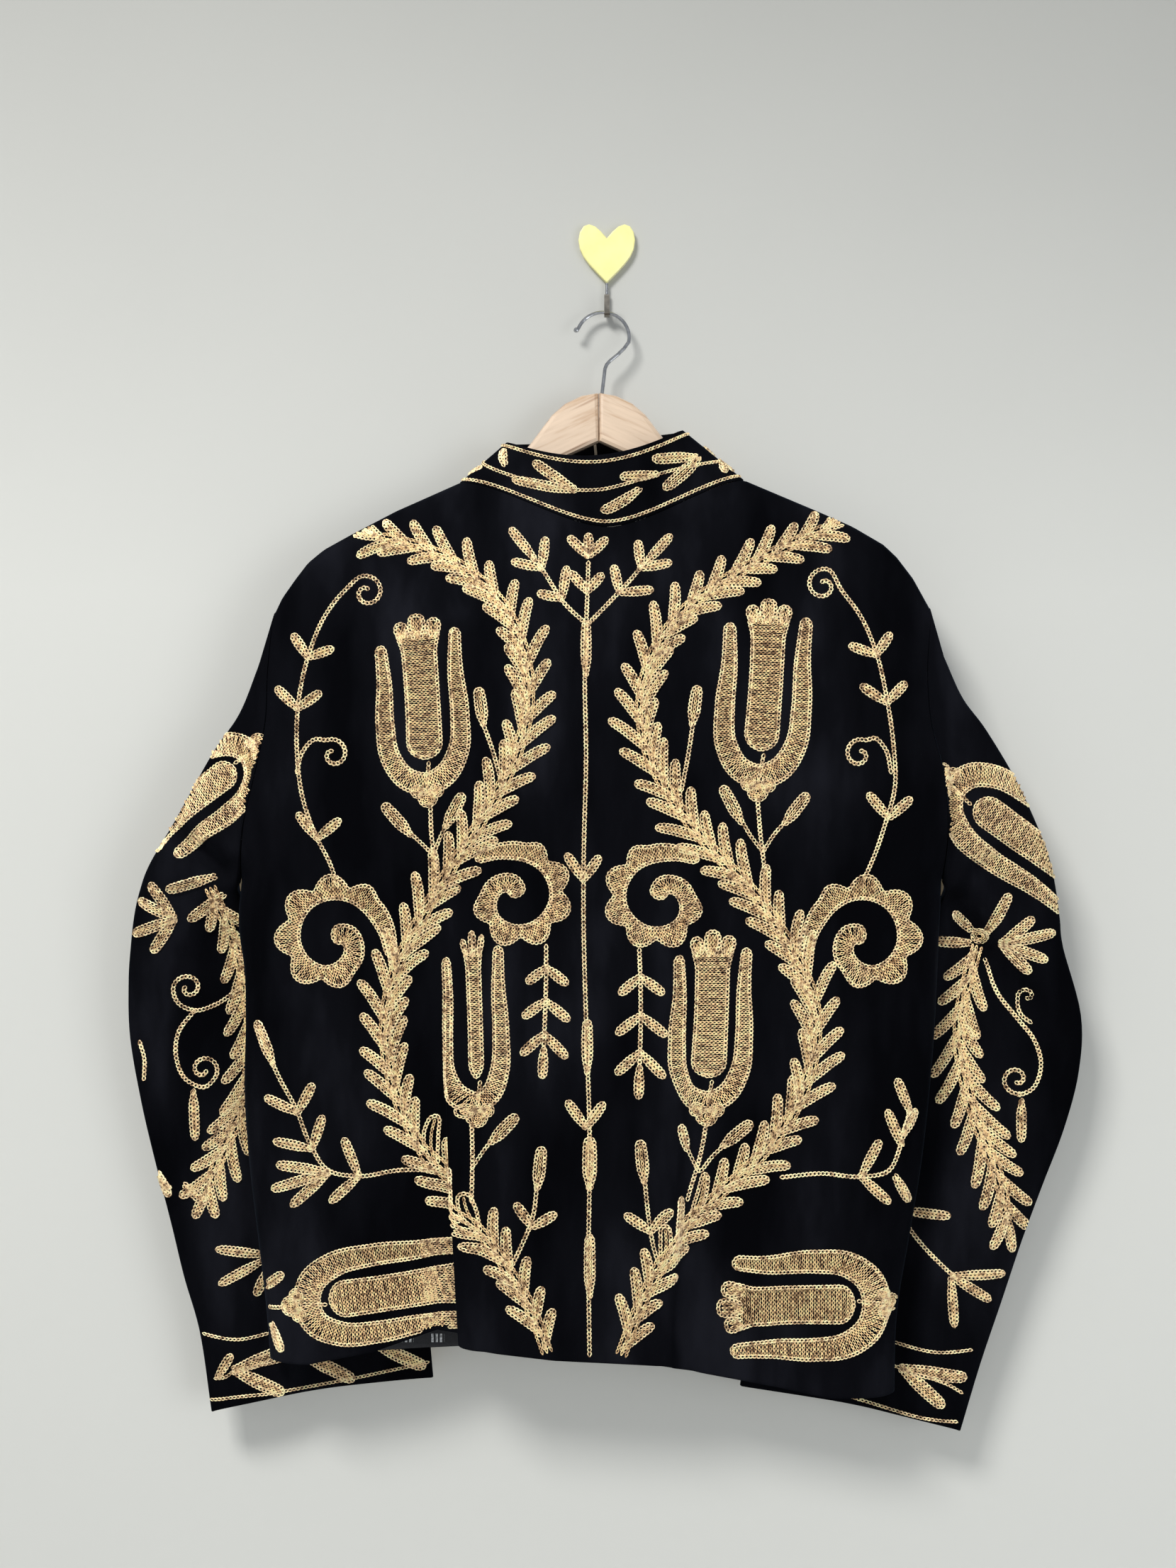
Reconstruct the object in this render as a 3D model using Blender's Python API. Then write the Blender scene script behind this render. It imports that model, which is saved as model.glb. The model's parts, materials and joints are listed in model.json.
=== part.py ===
"""Hip-length velvet jacket with a stand collar, hanging back outwards on a wooden
hanger, which hangs on a small heart-shaped wall hook.

Frame: metres, +Z up, +Y towards the wall, origin on the wall behind the hook's pad.
The back of the jacket faces -Y. Left is -X, which is also the wearer's left.
Every cloth piece is a wall of even thickness through sections worked out below.
"""

import math

import bmesh
import bpy
import numpy as np
from mathutils import Matrix

# Cloth
WALL = 0.0020  # velvet with its cotton lining
COLLAR_WALL = 0.0022  # two layers with a stiffener
LINING_WALL = 0.0010
SEAM_GAP = 0.0003  # between neighbouring pieces
ARMHOLE_GAP = 0.0006  # and at a sleeve's start
CUFF_LINING_HEIGHT = 0.022
HEM_LINING_HEIGHT = 0.030

# Body outline, seen from behind: height, left side, right side
SIDE_LINES = (
    (-0.100, -0.280, 0.271),
    (-0.320, -0.280, 0.271),
    (-0.370, -0.284, 0.267),
    (-0.410, -0.285, 0.269),
    (-0.450, -0.292, 0.278),
    (-0.490, -0.301, 0.282),
    (-0.545, -0.308, 0.281),
    (-0.580, -0.310, 0.279),
    (-0.620, -0.305, 0.277),
    (-0.660, -0.304, 0.275),
    (-0.720, -0.305, 0.270),
    (-0.780, -0.301, 0.263),
    (-0.840, -0.294, 0.253),
    (-0.900, -0.287, 0.243),
    (-0.980, -0.281, 0.240),
)
# Depth of the body: height, middle plane, bulge of the back, bulge of the fronts
DEPTHS = (
    (-0.100, -0.0190, 0.012, 0.011),
    (-0.206, -0.0363, 0.016, 0.011),
    (-0.262, -0.0455, 0.019, 0.011),
    (-0.320, -0.0520, 0.021, 0.012),
    (-0.410, -0.0560, 0.023, 0.012),
    (-0.545, -0.0580, 0.025, 0.011),
    (-0.660, -0.0590, 0.025, 0.011),
    (-0.840, -0.0590, 0.024, 0.012),
    (-0.980, -0.0590, 0.022, 0.013),
)
# Shoulder line over the hanger, left to right; over the neck it runs on unseen
SHOULDER_LINE = (
    (-0.2810, -0.3200),
    (-0.2743, -0.3051),
    (-0.2628, -0.2881),
    (-0.2531, -0.2750),
    (-0.2403, -0.2640),
    (-0.2178, -0.2511),
    (-0.1795, -0.2304),
    (-0.1267, -0.2061),
    (-0.0045, -0.1500),
    (0.1176, -0.2037),
    (0.1814, -0.2316),
    (0.2081, -0.2438),
    (0.2342, -0.2596),
    (0.2446, -0.2699),
    (0.2579, -0.2881),
    (0.2713, -0.3136),
)
SHOULDER_ROUND = 0.0135  # radius of the cloth over the hanger
SHOULDER_TURN = 0.10  # share of a panel's rows that go over it
UNDERARM_ROW = 0.40  # share of them down to the underarm
SHOULDER_SPREAD = 0.160  # drop over which the body reaches its full depth
SIDE_ROUND = 0.035  # width of the rounded side edges
UNDERARM_HEIGHT = -0.545
ARMHOLE_CLOSING = 0.28  # lowest share of the armhole, where front and back meet

# Neck
NECK_LEFT, NECK_RIGHT = -0.1267, 0.1176
NECK_BACK_LOW = -0.2465
NECK_FRONT_LOW = -0.2360
NECK_CURVE = 1.8
NECK_SHARE = 0.246  # share of the flat width outside the neck, on either side

# Collar
COLLAR_TOP_MIDDLE = -0.0106
COLLAR_TOP_HALF_WIDTH = 0.0755
COLLAR_TOP_BACK = -0.1880
COLLAR_TOP_RISE = 0.0224
COLLAR_TOP_TILT = 0.0052
COLLAR_TOP_PLANE = -0.0345
COLLAR_TOP_BACK_REACH = 0.033
COLLAR_TOP_FRONT_REACH = 0.023
COLLAR_FRONT_END = 0.996  # its front edges hang side by side
COLLAR_LIFT = 0.022  # share of its height that the collar starts above the neckline

# Fronts: where their centre edges lie, as a share of the flat width
FRONT_EDGE_LEFT, FRONT_EDGE_RIGHT = 0.505, 0.530
FRONT_HEM = -0.936
FRONT_HEM_CURVE = 0.010
FRONT_DROP = 0.70  # a front's height, for the share of it that the hem lining takes

# Hem of the back: share of the flat width, height
BACK_HEM = (
    (0.000, -0.9435),
    (0.120, -0.9330),
    (0.240, -0.9140),
    (0.318, -0.9275),
    (0.350, -0.9300),
    (0.450, -0.9354),
    (0.550, -0.9377),
    (0.640, -0.9400),
    (0.720, -0.9490),
    (0.850, -0.9600),
    (0.950, -0.9700),
    (1.000, -0.9700),
)
# Long folds of the back: place, drift of the place down to the hem, half width, overlap,
# step towards the viewer
BACK_FOLDS = (
    {"place": 0.258, "drift": 0.027, "half": 0.040, "overlap": 0.0080, "step": 0.0150},
    {"place": 0.655, "drift": 0.012, "half": 0.034, "overlap": 0.0015, "step": -0.0100},
)
FOLD_START, FOLD_FULL, FOLD_HEM = -0.520, -0.880, -0.960

# Sleeves, seen from behind. Each row is a section across the arm:
# outer x, outer z, inner x, inner z, outer plane, inner plane, half depth
LEFT_SLEEVE = (
    (-0.2927, -0.3592, -0.3104, -0.5482, -0.055, -0.057, 0.014),
    (-0.3097, -0.4021, -0.3110, -0.5500, -0.055, -0.056, 0.016),
    (-0.3332, -0.4371, -0.3112, -0.5525, -0.054, -0.054, 0.018),
    (-0.3640, -0.4921, -0.3103, -0.5565, -0.053, -0.050, 0.020),
    (-0.3863, -0.5295, -0.3060, -0.5645, -0.051, -0.044, 0.020),
    (-0.3950, -0.5520, -0.2960, -0.5800, -0.050, -0.037, 0.020),
    (-0.4002, -0.5736, -0.2780, -0.6000, -0.049, -0.031, 0.019),
    (-0.4035, -0.6000, -0.2560, -0.6240, -0.048, -0.028, 0.018),
    (-0.4057, -0.6304, -0.2335, -0.6522, -0.047, -0.026, 0.017),
    (-0.4051, -0.6763, -0.2124, -0.6944, -0.045, -0.025, 0.016),
    (-0.3966, -0.7295, -0.1943, -0.7428, -0.043, -0.025, 0.016),
    (-0.3863, -0.7760, -0.1816, -0.7911, -0.042, -0.024, 0.015),
    (-0.3712, -0.8358, -0.1695, -0.8394, -0.041, -0.024, 0.015),
    (-0.3604, -0.8817, -0.1611, -0.8817, -0.040, -0.024, 0.015),
    (-0.3470, -0.9300, -0.1545, -0.9200, -0.039, -0.024, 0.015),
    (-0.3374, -0.9976, -0.1496, -0.9729, -0.038, -0.024, 0.014),
)
RIGHT_SLEEVE = (
    (0.2829, -0.3532, 0.2834, -0.5490, -0.055, -0.057, 0.014),
    (0.2992, -0.3894, 0.2841, -0.5508, -0.055, -0.056, 0.016),
    (0.3191, -0.4166, 0.2844, -0.5533, -0.054, -0.054, 0.018),
    (0.3445, -0.4589, 0.2836, -0.5573, -0.053, -0.050, 0.020),
    (0.3650, -0.5024, 0.2798, -0.5650, -0.051, -0.044, 0.020),
    (0.3740, -0.5270, 0.2705, -0.5800, -0.050, -0.037, 0.020),
    (0.3789, -0.5489, 0.2540, -0.6010, -0.049, -0.031, 0.019),
    (0.3830, -0.5760, 0.2340, -0.6260, -0.048, -0.028, 0.018),
    (0.3862, -0.6008, 0.2134, -0.6552, -0.047, -0.026, 0.017),
    (0.4019, -0.6582, 0.1923, -0.7005, -0.045, -0.025, 0.016),
    (0.4007, -0.7065, 0.1772, -0.7428, -0.043, -0.025, 0.016),
    (0.3886, -0.7548, 0.1633, -0.7851, -0.042, -0.024, 0.015),
    (0.3705, -0.8032, 0.1506, -0.8243, -0.041, -0.024, 0.015),
    (0.3529, -0.8515, 0.1397, -0.8636, -0.040, -0.024, 0.015),
    (0.3354, -0.9046, 0.1276, -0.9058, -0.039, -0.024, 0.015),
    (0.3180, -0.9560, 0.1200, -0.9420, -0.039, -0.024, 0.015),
    (0.3010, -1.0140, 0.1144, -0.9801, -0.038, -0.024, 0.014),
)
SLEEVE_RUN = 0.80  # a sleeve's length, for the share of it that the cuff lining takes
CUFF_RISE = 0.0070  # how much shorter the side towards the viewer is, as a share
CUFF_RISE_FROM = 0.85
SLEEVE_BLEND_ROWS = 3.0  # rows over which the armhole's shape fades out
SLEEVE_SHIFT_FROM, SLEEVE_SHIFT_TO = 0.05, 0.60  # where a section steps back behind the body
SLEEVE_CLEARANCE = 0.0030  # behind the fronts
SLEEVE_FALL = 1.5  # how fast that limit falls away outside the body
SLEEVE_JOINED = 0.060  # and how far it is lifted where the sleeve is sewn on
SLEEVE_SOFTNESS = 0.004
SLEEVE_LEAST_DEPTH = 0.015
SLEEVE_FLATNESS = 0.75  # power of the section's sine: lower is flatter

# Creases of the cloth that faces the viewer: start x, z, end x, z, width, depth
LEFT_SLEEVE_CREASES = (
    (-0.3650, -0.5000, -0.3170, -0.5400, 0.0100, 0.0110),
    (-0.3560, -0.4850, -0.3080, -0.5230, 0.0120, -0.0050),
    (-0.3930, -0.5480, -0.3500, -0.5340, 0.0110, -0.0050),
    (-0.3300, -0.5900, -0.3150, -0.6900, 0.0180, 0.0050),
)
RIGHT_SLEEVE_CREASES = (
    (0.2900, -0.5560, 0.3240, -0.6100, 0.0110, 0.0120),
    (0.3240, -0.6100, 0.3900, -0.6820, 0.0110, 0.0090),
    (0.3120, -0.5480, 0.3700, -0.6280, 0.0150, -0.0050),
    (0.3450, -0.5150, 0.3050, -0.5360, 0.0090, 0.0040),
)

# Hanger
HANGER_CENTRE = -0.0070
HANGER_LEAN = math.radians(9.7)  # it leans out from the wall at the bottom
HANGER_THICKNESS = 0.0115
HANGER_EDGE_ROUND = 0.0040
HANGER_UNDER_CLOTH = 0.0042  # below the cloth's outer shoulder line
HANGER_END = 0.2050  # from its centre
HANGER_END_ROUND = 0.0080
HANGER_UNDER_POINT = 0.1200  # a point of the lower edge, between seam and end
HANGER_NOTCH = -0.1696
HANGER_UNDER_SLOPE = 0.47
HANGER_SEAM = 0.0003
# Outline of the wooden neck: distance from the centre, drop from its top
HANGER_NECK = (
    (0.0000, 0.0000),
    (0.0150, 0.0022),
    (0.0290, 0.0092),
    (0.0403, 0.0194),
    (0.0490, 0.0315),
    (0.0583, 0.0445),
    (0.0700, 0.0590),
    (0.0850, 0.0705),
)
HANGER_TOP = -0.1263
HANGER_MEETS_SHOULDER = 0.1180

# Hook of the hanger
WIRE_RADIUS = 0.0016
WIRE_SIDES = 10
HOOK_RADIUS = 0.0228
HOOK_CENTRE_X = -0.0035
HOOK_TIP_ANGLE = math.radians(158)
HOOK_START_ANGLE = math.radians(-12)
HOOK_BALL_RADIUS = 0.0024
HOOK_FOOT_X = -0.0043
# The wire from the wooden neck up to the loop: x, height
HOOK_SHAFT = (
    (-0.0030, -0.1150),
    (-0.0017, -0.1035),
    (-0.0003, -0.1000),
    (0.0024, -0.0968),
    (0.0095, -0.0908),
    (0.0150, -0.0852),
    (0.0182, -0.0805),
)
BALL_RUN = (0.75, 0.66)  # direction of the wire at its tip
BALL_PROFILE = ((0.0012, 0.80), (0.0020, 0.98), (0.0030, 0.98), (0.0042, 0.72), (0.0050, 0.25))

# Wall hook
PAD_WIDTH = 0.0494
PAD_HEIGHT = 0.0510
PAD_THICKNESS = 0.0060
PAD_EDGE_ROUND = 0.0012
HEART_POWER = 1.9  # lower is blunter at the tip
PIVOT = (0.0, -0.0100, -0.0527)  # where the hanger's wire rests
STRIP_WIDTH = 0.0045
STRIP_THICKNESS = 0.0016
STRIP_BEND = 0.0065
PIN_RADIUS = 0.0013
PIN_BOTTOM = -0.0352
LIP_TOP = -0.0405
LIP_LEAN = 0.0006


def smooth(value):
    value = np.clip(value, 0.0, 1.0)
    return value * value * (3.0 - 2.0 * value)


def along_table(rows, key, column, key_column=0):
    """A smooth curve through one column of a table, read at key."""
    rows = sorted(rows, key=lambda row: row[key_column])
    at = np.array([row[key_column] for row in rows])
    value = np.array([row[column] for row in rows])
    slope = np.gradient(value, at)
    key = np.clip(key, at[0], at[-1])
    i = np.clip(np.searchsorted(at, key, side="right") - 1, 0, len(at) - 2)
    span = at[i + 1] - at[i]
    t = (key - at[i]) / span
    return (
        (2 * t**3 - 3 * t**2 + 1) * value[i]
        + (t**3 - 2 * t**2 + t) * span * slope[i]
        + (-2 * t**3 + 3 * t**2) * value[i + 1]
        + (t**3 - t**2) * span * slope[i + 1]
    )


def side_lines(z):
    return along_table(SIDE_LINES, z, 1), along_table(SIDE_LINES, z, 2)


def shoulder_height(x):
    at = [row[0] for row in SHOULDER_LINE]
    return np.interp(x, at, [row[1] for row in SHOULDER_LINE])


def edge_share(s):
    """Angle of the rounded side edge at station s, and how far across the flat part."""
    left = np.clip(s + 1.0, 0.0, 1.0) * math.pi / 2
    right = np.clip(2.0 - s, 0.0, 1.0) * math.pi / 2
    return left, right, np.clip(s, 0.0, 1.0)


def closed_side(z):
    """0 at the armhole, where the sleeve carries on, and 1 at the side seam."""
    return smooth((UNDERARM_HEIGHT + 0.020 - z) / 0.040)


def across(s, z):
    """x at station s: -1 to 0 is the left edge, 0 to 1 the flat, 1 to 2 the right edge."""
    left, right, flat = edge_share(s)
    low, high = side_lines(z)
    closed = closed_side(z)

    def edge(angle):
        open_edge = angle / (math.pi / 2)
        return SIDE_ROUND * ((1 - closed) * open_edge + closed * (1 - np.cos(angle)))

    inner = (high - low) - 2 * SIDE_ROUND
    return low + edge(left) + inner * flat + SIDE_ROUND - edge(right)


def full_bulge(x, z, bulge_column):
    """Half depth of the body away from its side edges."""
    drop = np.maximum(shoulder_height(x) - z, 0.0)
    round_share = np.clip(drop / SHOULDER_ROUND, 0.0, 1.0)
    over_hanger = SHOULDER_ROUND * np.sqrt(1.0 - (1.0 - round_share) ** 2)
    grown = smooth((drop - SHOULDER_ROUND) / SHOULDER_SPREAD)
    return over_hanger * (1 - grown) + along_table(DEPTHS, z, bulge_column) * grown


def armhole_share(z):
    """How open the side edge is: 1 along the armhole, falling to 0 at the underarm."""
    top = shoulder_height(side_lines(z)[0])
    place = (top - z) / (top - UNDERARM_HEIGHT)
    closing = np.clip((place - 1.0 + ARMHOLE_CLOSING) / ARMHOLE_CLOSING, 0.0, 1.0)
    return 1.0 - closing**2


def bulge(s, z, bulge_column):
    left, right, _ = edge_share(s)
    full = full_bulge(across(s, z), z, bulge_column)
    edge = full * armhole_share(z)
    return edge + (full - edge) * np.sin(left) * np.sin(right)


def body_point(s, z, is_back):
    """A point of the body's outer face, without the long folds."""
    plane = along_table(DEPTHS, z, 1)
    depth = bulge(s, z, 2 if is_back else 3)
    return np.stack([across(s, z), plane - depth if is_back else plane + depth, z], -1)


def back_folds(point, s):
    """The two long folds: the middle of the back stands out, and laps over on the left."""
    strength = smooth((FOLD_START - point[..., 2]) / (FOLD_START - FOLD_FULL))
    moved = point.copy()
    lower = smooth((FOLD_START - point[..., 2]) / (FOLD_START - FOLD_HEM))
    for fold in BACK_FOLDS:
        t = np.clip((s - fold["place"] - fold["drift"] * lower) / fold["half"], -1.0, 1.0)
        moved[..., 0] -= fold["overlap"] * strength * np.sin(math.pi * t)
        moved[..., 1] -= fold["step"] * strength * smooth((t + 1) / 2)
    return moved


def neck_height(x, is_back):
    half = np.where(x < 0, -NECK_LEFT, NECK_RIGHT)
    share = np.clip(np.abs(x) / half, 0.0, 1.0) ** NECK_CURVE
    low = NECK_BACK_LOW if is_back else NECK_FRONT_LOW
    return low + (shoulder_height(x) - low) * share


def top_height(s, is_back):
    """Height of a panel's top edge: the shoulder line, or the neckline between its ends."""
    z = np.full_like(np.asarray(s, float), -0.25)
    for _ in range(40):
        x = across(s, z)
        at_neck = (x > NECK_LEFT) & (x < NECK_RIGHT)
        target = np.where(at_neck, neck_height(x, is_back), shoulder_height(x))
        z = z + 0.5 * (target - z)
    return z


def hem_height(s, is_back):
    if is_back:
        share = np.clip(s, 0.0, 1.0)
        return np.interp(share, [row[0] for row in BACK_HEM], [row[1] for row in BACK_HEM])
    return FRONT_HEM - FRONT_HEM_CURVE * (1 - np.sin(np.clip(s, 0.0, 1.0) * math.pi))


def row_height(top, hem, v):
    """Height of a panel's row: finer over the shoulder, and level at the underarm."""
    over = SHOULDER_ROUND * (1 - np.cos(np.clip(v / SHOULDER_TURN, 0, 1) * math.pi / 2))
    upper = np.clip((v - SHOULDER_TURN) / (UNDERARM_ROW - SHOULDER_TURN), 0, 1)
    lower = np.clip((v - UNDERARM_ROW) / (1 - UNDERARM_ROW), 0, 1)
    to_underarm = (top - SHOULDER_ROUND) - UNDERARM_HEIGHT
    return top - over - to_underarm * upper - (UNDERARM_HEIGHT - hem) * lower


def panel_point(s, v, is_back):
    top = top_height(s, is_back)
    z = row_height(top, hem_height(s, is_back), v)
    point = body_point(s, z, is_back)
    return back_folds(point, s) if is_back else point


def crease_depth(x, z, creases):
    """How far the cloth is pushed towards the wall by its creases."""
    total = np.zeros_like(x)
    for x0, z0, x1, z1, width, depth in creases:
        run = np.array([x1 - x0, z1 - z0])
        length = math.hypot(*run)
        t = ((x - x0) * run[0] + (z - z0) * run[1]) / length**2
        side = ((x - x0) * run[1] - (z - z0) * run[0]) / length
        ends = smooth((t + 0.12) / 0.24) * smooth((1.12 - t) / 0.24)
        total += depth * ends * np.exp(-((side / width) ** 2))
    return total


def behind_body(x, z):
    """How near the camera a sleeve may come: just behind the fronts where it passes them."""
    low, high = side_lines(z)
    inside = np.minimum(x - low, high - x)
    share = np.clip(inside / SIDE_ROUND, 0.0, 1.0)
    turned = np.sqrt(1.0 - (1.0 - share) ** 2)
    full = full_bulge(x, z, 3)
    edge = full * armhole_share(z)
    front = along_table(DEPTHS, z, 1) + edge + (full - edge) * turned
    joined = 1.0 - smooth((UNDERARM_HEIGHT + 0.005 - z) / 0.015)
    free = np.minimum(inside, 0.0) * SLEEVE_FALL - joined * SLEEVE_JOINED
    return front + SLEEVE_CLEARANCE + free


def soft_maximum(a, b, softness):
    return (a + b + np.sqrt((a - b) ** 2 + softness**2)) / 2


def armhole_ring(s_edge):
    """Angles round the armhole at the rows of the body, and the body's normals there."""
    edge = np.full(len(ARMHOLE_ROWS), float(s_edge))
    top = top_height(edge, True)
    z = row_height(top, hem_height(edge, True), ARMHOLE_ROWS)
    half = np.arccos(np.clip(1 - 2 * (top - z) / (top - UNDERARM_HEIGHT), -1, 1))
    sides = []
    for is_back in (True, False):
        normal = outward(lambda s, v, back=is_back: panel_point(s, v, back), edge, ARMHOLE_ROWS)
        sides.append(-normal if is_back else normal)
    ends = sides[0] + sides[1]
    ends /= np.linalg.norm(ends, axis=1, keepdims=True)
    normals = [ends[:1], sides[0][1:-1], [(0.0, 0.0, -1.0)], sides[1][-2:0:-1]]
    angles = np.concatenate([half, 2 * math.pi - half[-2:0:-1]])
    return angles, np.concatenate(normals)


def sleeve_normal(angle, w, rows):
    """Outward directions round a sleeve, turning evenly so that its thin ends stay open."""
    table = [(i + 1, *row) for i, row in enumerate(rows)]
    at = np.maximum(w * len(rows), 1.0)
    step = 0.1

    def column(place, i):
        return along_table(table, place, i)

    chord = np.stack([column(at, i + 2) - column(at, i) for i in (1, 2)], -1)
    sideways = []
    for i, away in ((1, -1), (3, 1)):
        run_x = column(at + step, i) - column(at - step, i)
        run_z = column(at + step, i + 1) - column(at - step, i + 1)
        across_run = np.stack([run_z, -run_x], -1)
        across_run /= np.linalg.norm(across_run, axis=-1, keepdims=True)
        towards = np.sum(across_run * chord, -1, keepdims=True) * away
        sideways.append(across_run * np.sign(towards))
    at_inner = ((np.cos(angle) < 0) * 1.0)[..., None]
    end = sideways[0] * (1 - at_inner) + sideways[1] * at_inner
    lengthways = np.abs(np.cos(angle)) ** 3
    deep = np.sign(np.sin(angle)) * np.sqrt(np.abs(np.sin(angle)))
    normal = np.stack([end[..., 0] * lengthways, -deep, end[..., 1] * lengthways], -1)
    return normal / np.linalg.norm(normal, axis=-1, keepdims=True)


def sleeve_point(angle, w, rows, s_edge, creases):
    """A point of a sleeve: angle goes round a section, w runs from armhole to cuff."""
    inward = (1 - np.cos(angle)) / 2
    facing = np.sin(angle)
    rise = CUFF_RISE * np.clip(facing, 0.0, 1.0) * smooth((w - CUFF_RISE_FROM) / (1 - CUFF_RISE_FROM))
    place = (w - rise) * len(rows)

    # The armhole's own section
    arm_top = float(top_height(np.array([float(s_edge)]), True)[0])
    arm_z = arm_top + (UNDERARM_HEIGHT - arm_top) * inward
    plane = along_table(DEPTHS, arm_z, 1)
    edge_s = np.full_like(arm_z, float(s_edge))
    back_edge = plane - bulge(edge_s, arm_z, 2)
    front_edge = plane + bulge(edge_s, arm_z, 3)
    arm_x = across(edge_s, arm_z) + math.copysign(ARMHOLE_GAP, s_edge)
    armhole = np.stack([arm_x, np.where(facing >= 0, back_edge, front_edge), arm_z], -1)

    # The arm's section
    table = [(i + 1, *row) for i, row in enumerate(rows)]
    at = np.maximum(place, 1.0)
    column = [along_table(table, at, i) for i in range(1, 8)]
    outer_x, outer_z, inner_x, inner_z, outer_plane, inner_plane, half = column
    x = outer_x + (inner_x - outer_x) * inward
    z = outer_z + (inner_z - outer_z) * inward
    shift = (inward - SLEEVE_SHIFT_FROM) / (SLEEVE_SHIFT_TO - SLEEVE_SHIFT_FROM)
    middle = outer_plane + (inner_plane - outer_plane) * smooth(shift)
    depth = half * np.sign(facing) * np.abs(facing) ** SLEEVE_FLATNESS
    y = middle - depth
    y = y + crease_depth(x, z, creases) * np.clip(facing, 0.0, 1.0) ** 1.5
    towards_wall = np.clip(-facing, 0.0, 1.0) ** SLEEVE_FLATNESS
    nearest = behind_body(x, z) + SLEEVE_LEAST_DEPTH * towards_wall
    y = soft_maximum(y, nearest, SLEEVE_SOFTNESS)
    arm = np.stack([x, y, z], -1)

    keep = smooth(1.0 - place / SLEEVE_BLEND_ROWS)[..., None]
    lead = np.clip(1.0 - place, 0.0, 1.0)[..., None]
    shape = arm.copy()
    shape[..., 1] = arm[..., 1] * (1 - keep[..., 0]) + armhole[..., 1] * keep[..., 0]
    return armhole * lead + shape * (1 - lead)


def collar_point(c, h):
    """c goes round from the left front end at -1, over the back at 0; h runs up."""
    turn = math.pi * c
    middle = (NECK_LEFT + NECK_RIGHT) / 2
    x = middle + (NECK_RIGHT - NECK_LEFT) / 2 * np.sin(turn)
    base = []
    for is_back in (True, False):
        z = neck_height(x, is_back)
        plane = along_table(DEPTHS, z, 1)
        depth = full_bulge(x, z, 2 if is_back else 3)
        base.append(np.stack([x, plane - depth if is_back else plane + depth, z], -1))
    at_back = (np.abs(c) <= 0.5)[..., None]
    low = np.where(at_back, base[0], base[1])
    side = np.sin(np.clip(np.abs(turn), 0, math.pi / 2)) ** 2
    reach = np.where(np.cos(turn) > 0, COLLAR_TOP_BACK_REACH, COLLAR_TOP_FRONT_REACH)
    high = np.stack(
        [
            COLLAR_TOP_MIDDLE + COLLAR_TOP_HALF_WIDTH * np.sin(turn),
            COLLAR_TOP_PLANE - reach * np.cos(turn),
            COLLAR_TOP_BACK + COLLAR_TOP_RISE * side + COLLAR_TOP_TILT * np.sin(turn),
        ],
        -1,
    )
    return low + (high - low) * h[..., None]


def outward(point_at, u, v):
    """Unit normals of a surface, from the cross product of its two directions."""
    step = 1e-3
    du = point_at(u + step, v) - point_at(u - step, v)
    dv = point_at(u, v + step) - point_at(u, v - step)
    normal = np.cross(du, dv)
    return normal / np.maximum(np.linalg.norm(normal, axis=-1, keepdims=True), 1e-12)


def drawn_in(points, gap, wrap):
    """Pulls the free edges of a grid of points in by half a seam gap."""
    points = points.copy()
    pairs = [((slice(None), 0), (slice(None), 1)), ((slice(None), -1), (slice(None), -2))]
    if not wrap:
        pairs += [((0, slice(None)), (1, slice(None))), ((-1, slice(None)), (-2, slice(None)))]
    for edge, inner in pairs:
        run = points[inner] - points[edge]
        length = np.maximum(np.linalg.norm(run, axis=-1, keepdims=True), 1e-9)
        points[edge] += run / length * (gap / 2)
    return points


def material(name, colour, roughness, metallic=0.0):
    made = bpy.data.materials.get(name) or bpy.data.materials.new(name)
    made.use_nodes = True
    shader = made.node_tree.nodes["Principled BSDF"]
    shader.inputs["Base Color"].default_value = (*colour, 1.0)
    shader.inputs["Roughness"].default_value = roughness
    shader.inputs["Metallic"].default_value = metallic
    made.diffuse_color = (*colour, 1.0)
    return made


def finished(name, mesh, finish, parent=None):
    item = bpy.data.objects.new(name, mesh)
    COLLECTION.objects.link(item)
    item.data.materials.append(finish)
    item.parent = parent
    return item


def vertex_grid(shell, points):
    columns, rows = points.shape[:2]
    return [[shell.verts.new(points[i, j]) for j in range(rows)] for i in range(columns)]


def wall(name, outer, inner, finish, wrap=False):
    """A closed wall between two grids of points of the same size."""
    shell = bmesh.new()
    columns, rows = outer.shape[:2]
    out = vertex_grid(shell, outer)
    back = vertex_grid(shell, inner)
    for i in range(columns if wrap else columns - 1):
        k = (i + 1) % columns
        for j in range(rows - 1):
            shell.faces.new((out[i][j], out[k][j], out[k][j + 1], out[i][j + 1]))
            shell.faces.new((back[i][j], back[i][j + 1], back[k][j + 1], back[k][j]))
        for j in (0, rows - 1):
            shell.faces.new((out[i][j], back[i][j], back[k][j], out[k][j]))
    if not wrap:
        for i in (0, columns - 1):
            for j in range(rows - 1):
                shell.faces.new((out[i][j], out[i][j + 1], back[i][j + 1], back[i][j]))
    bmesh.ops.recalc_face_normals(shell, faces=shell.faces)
    mesh = bpy.data.meshes.new(name)
    shell.to_mesh(mesh)
    shell.free()
    mesh.shade_smooth()
    mesh.set_sharp_from_angle(angle=math.radians(50))
    return finished(name, mesh, finish)


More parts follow.
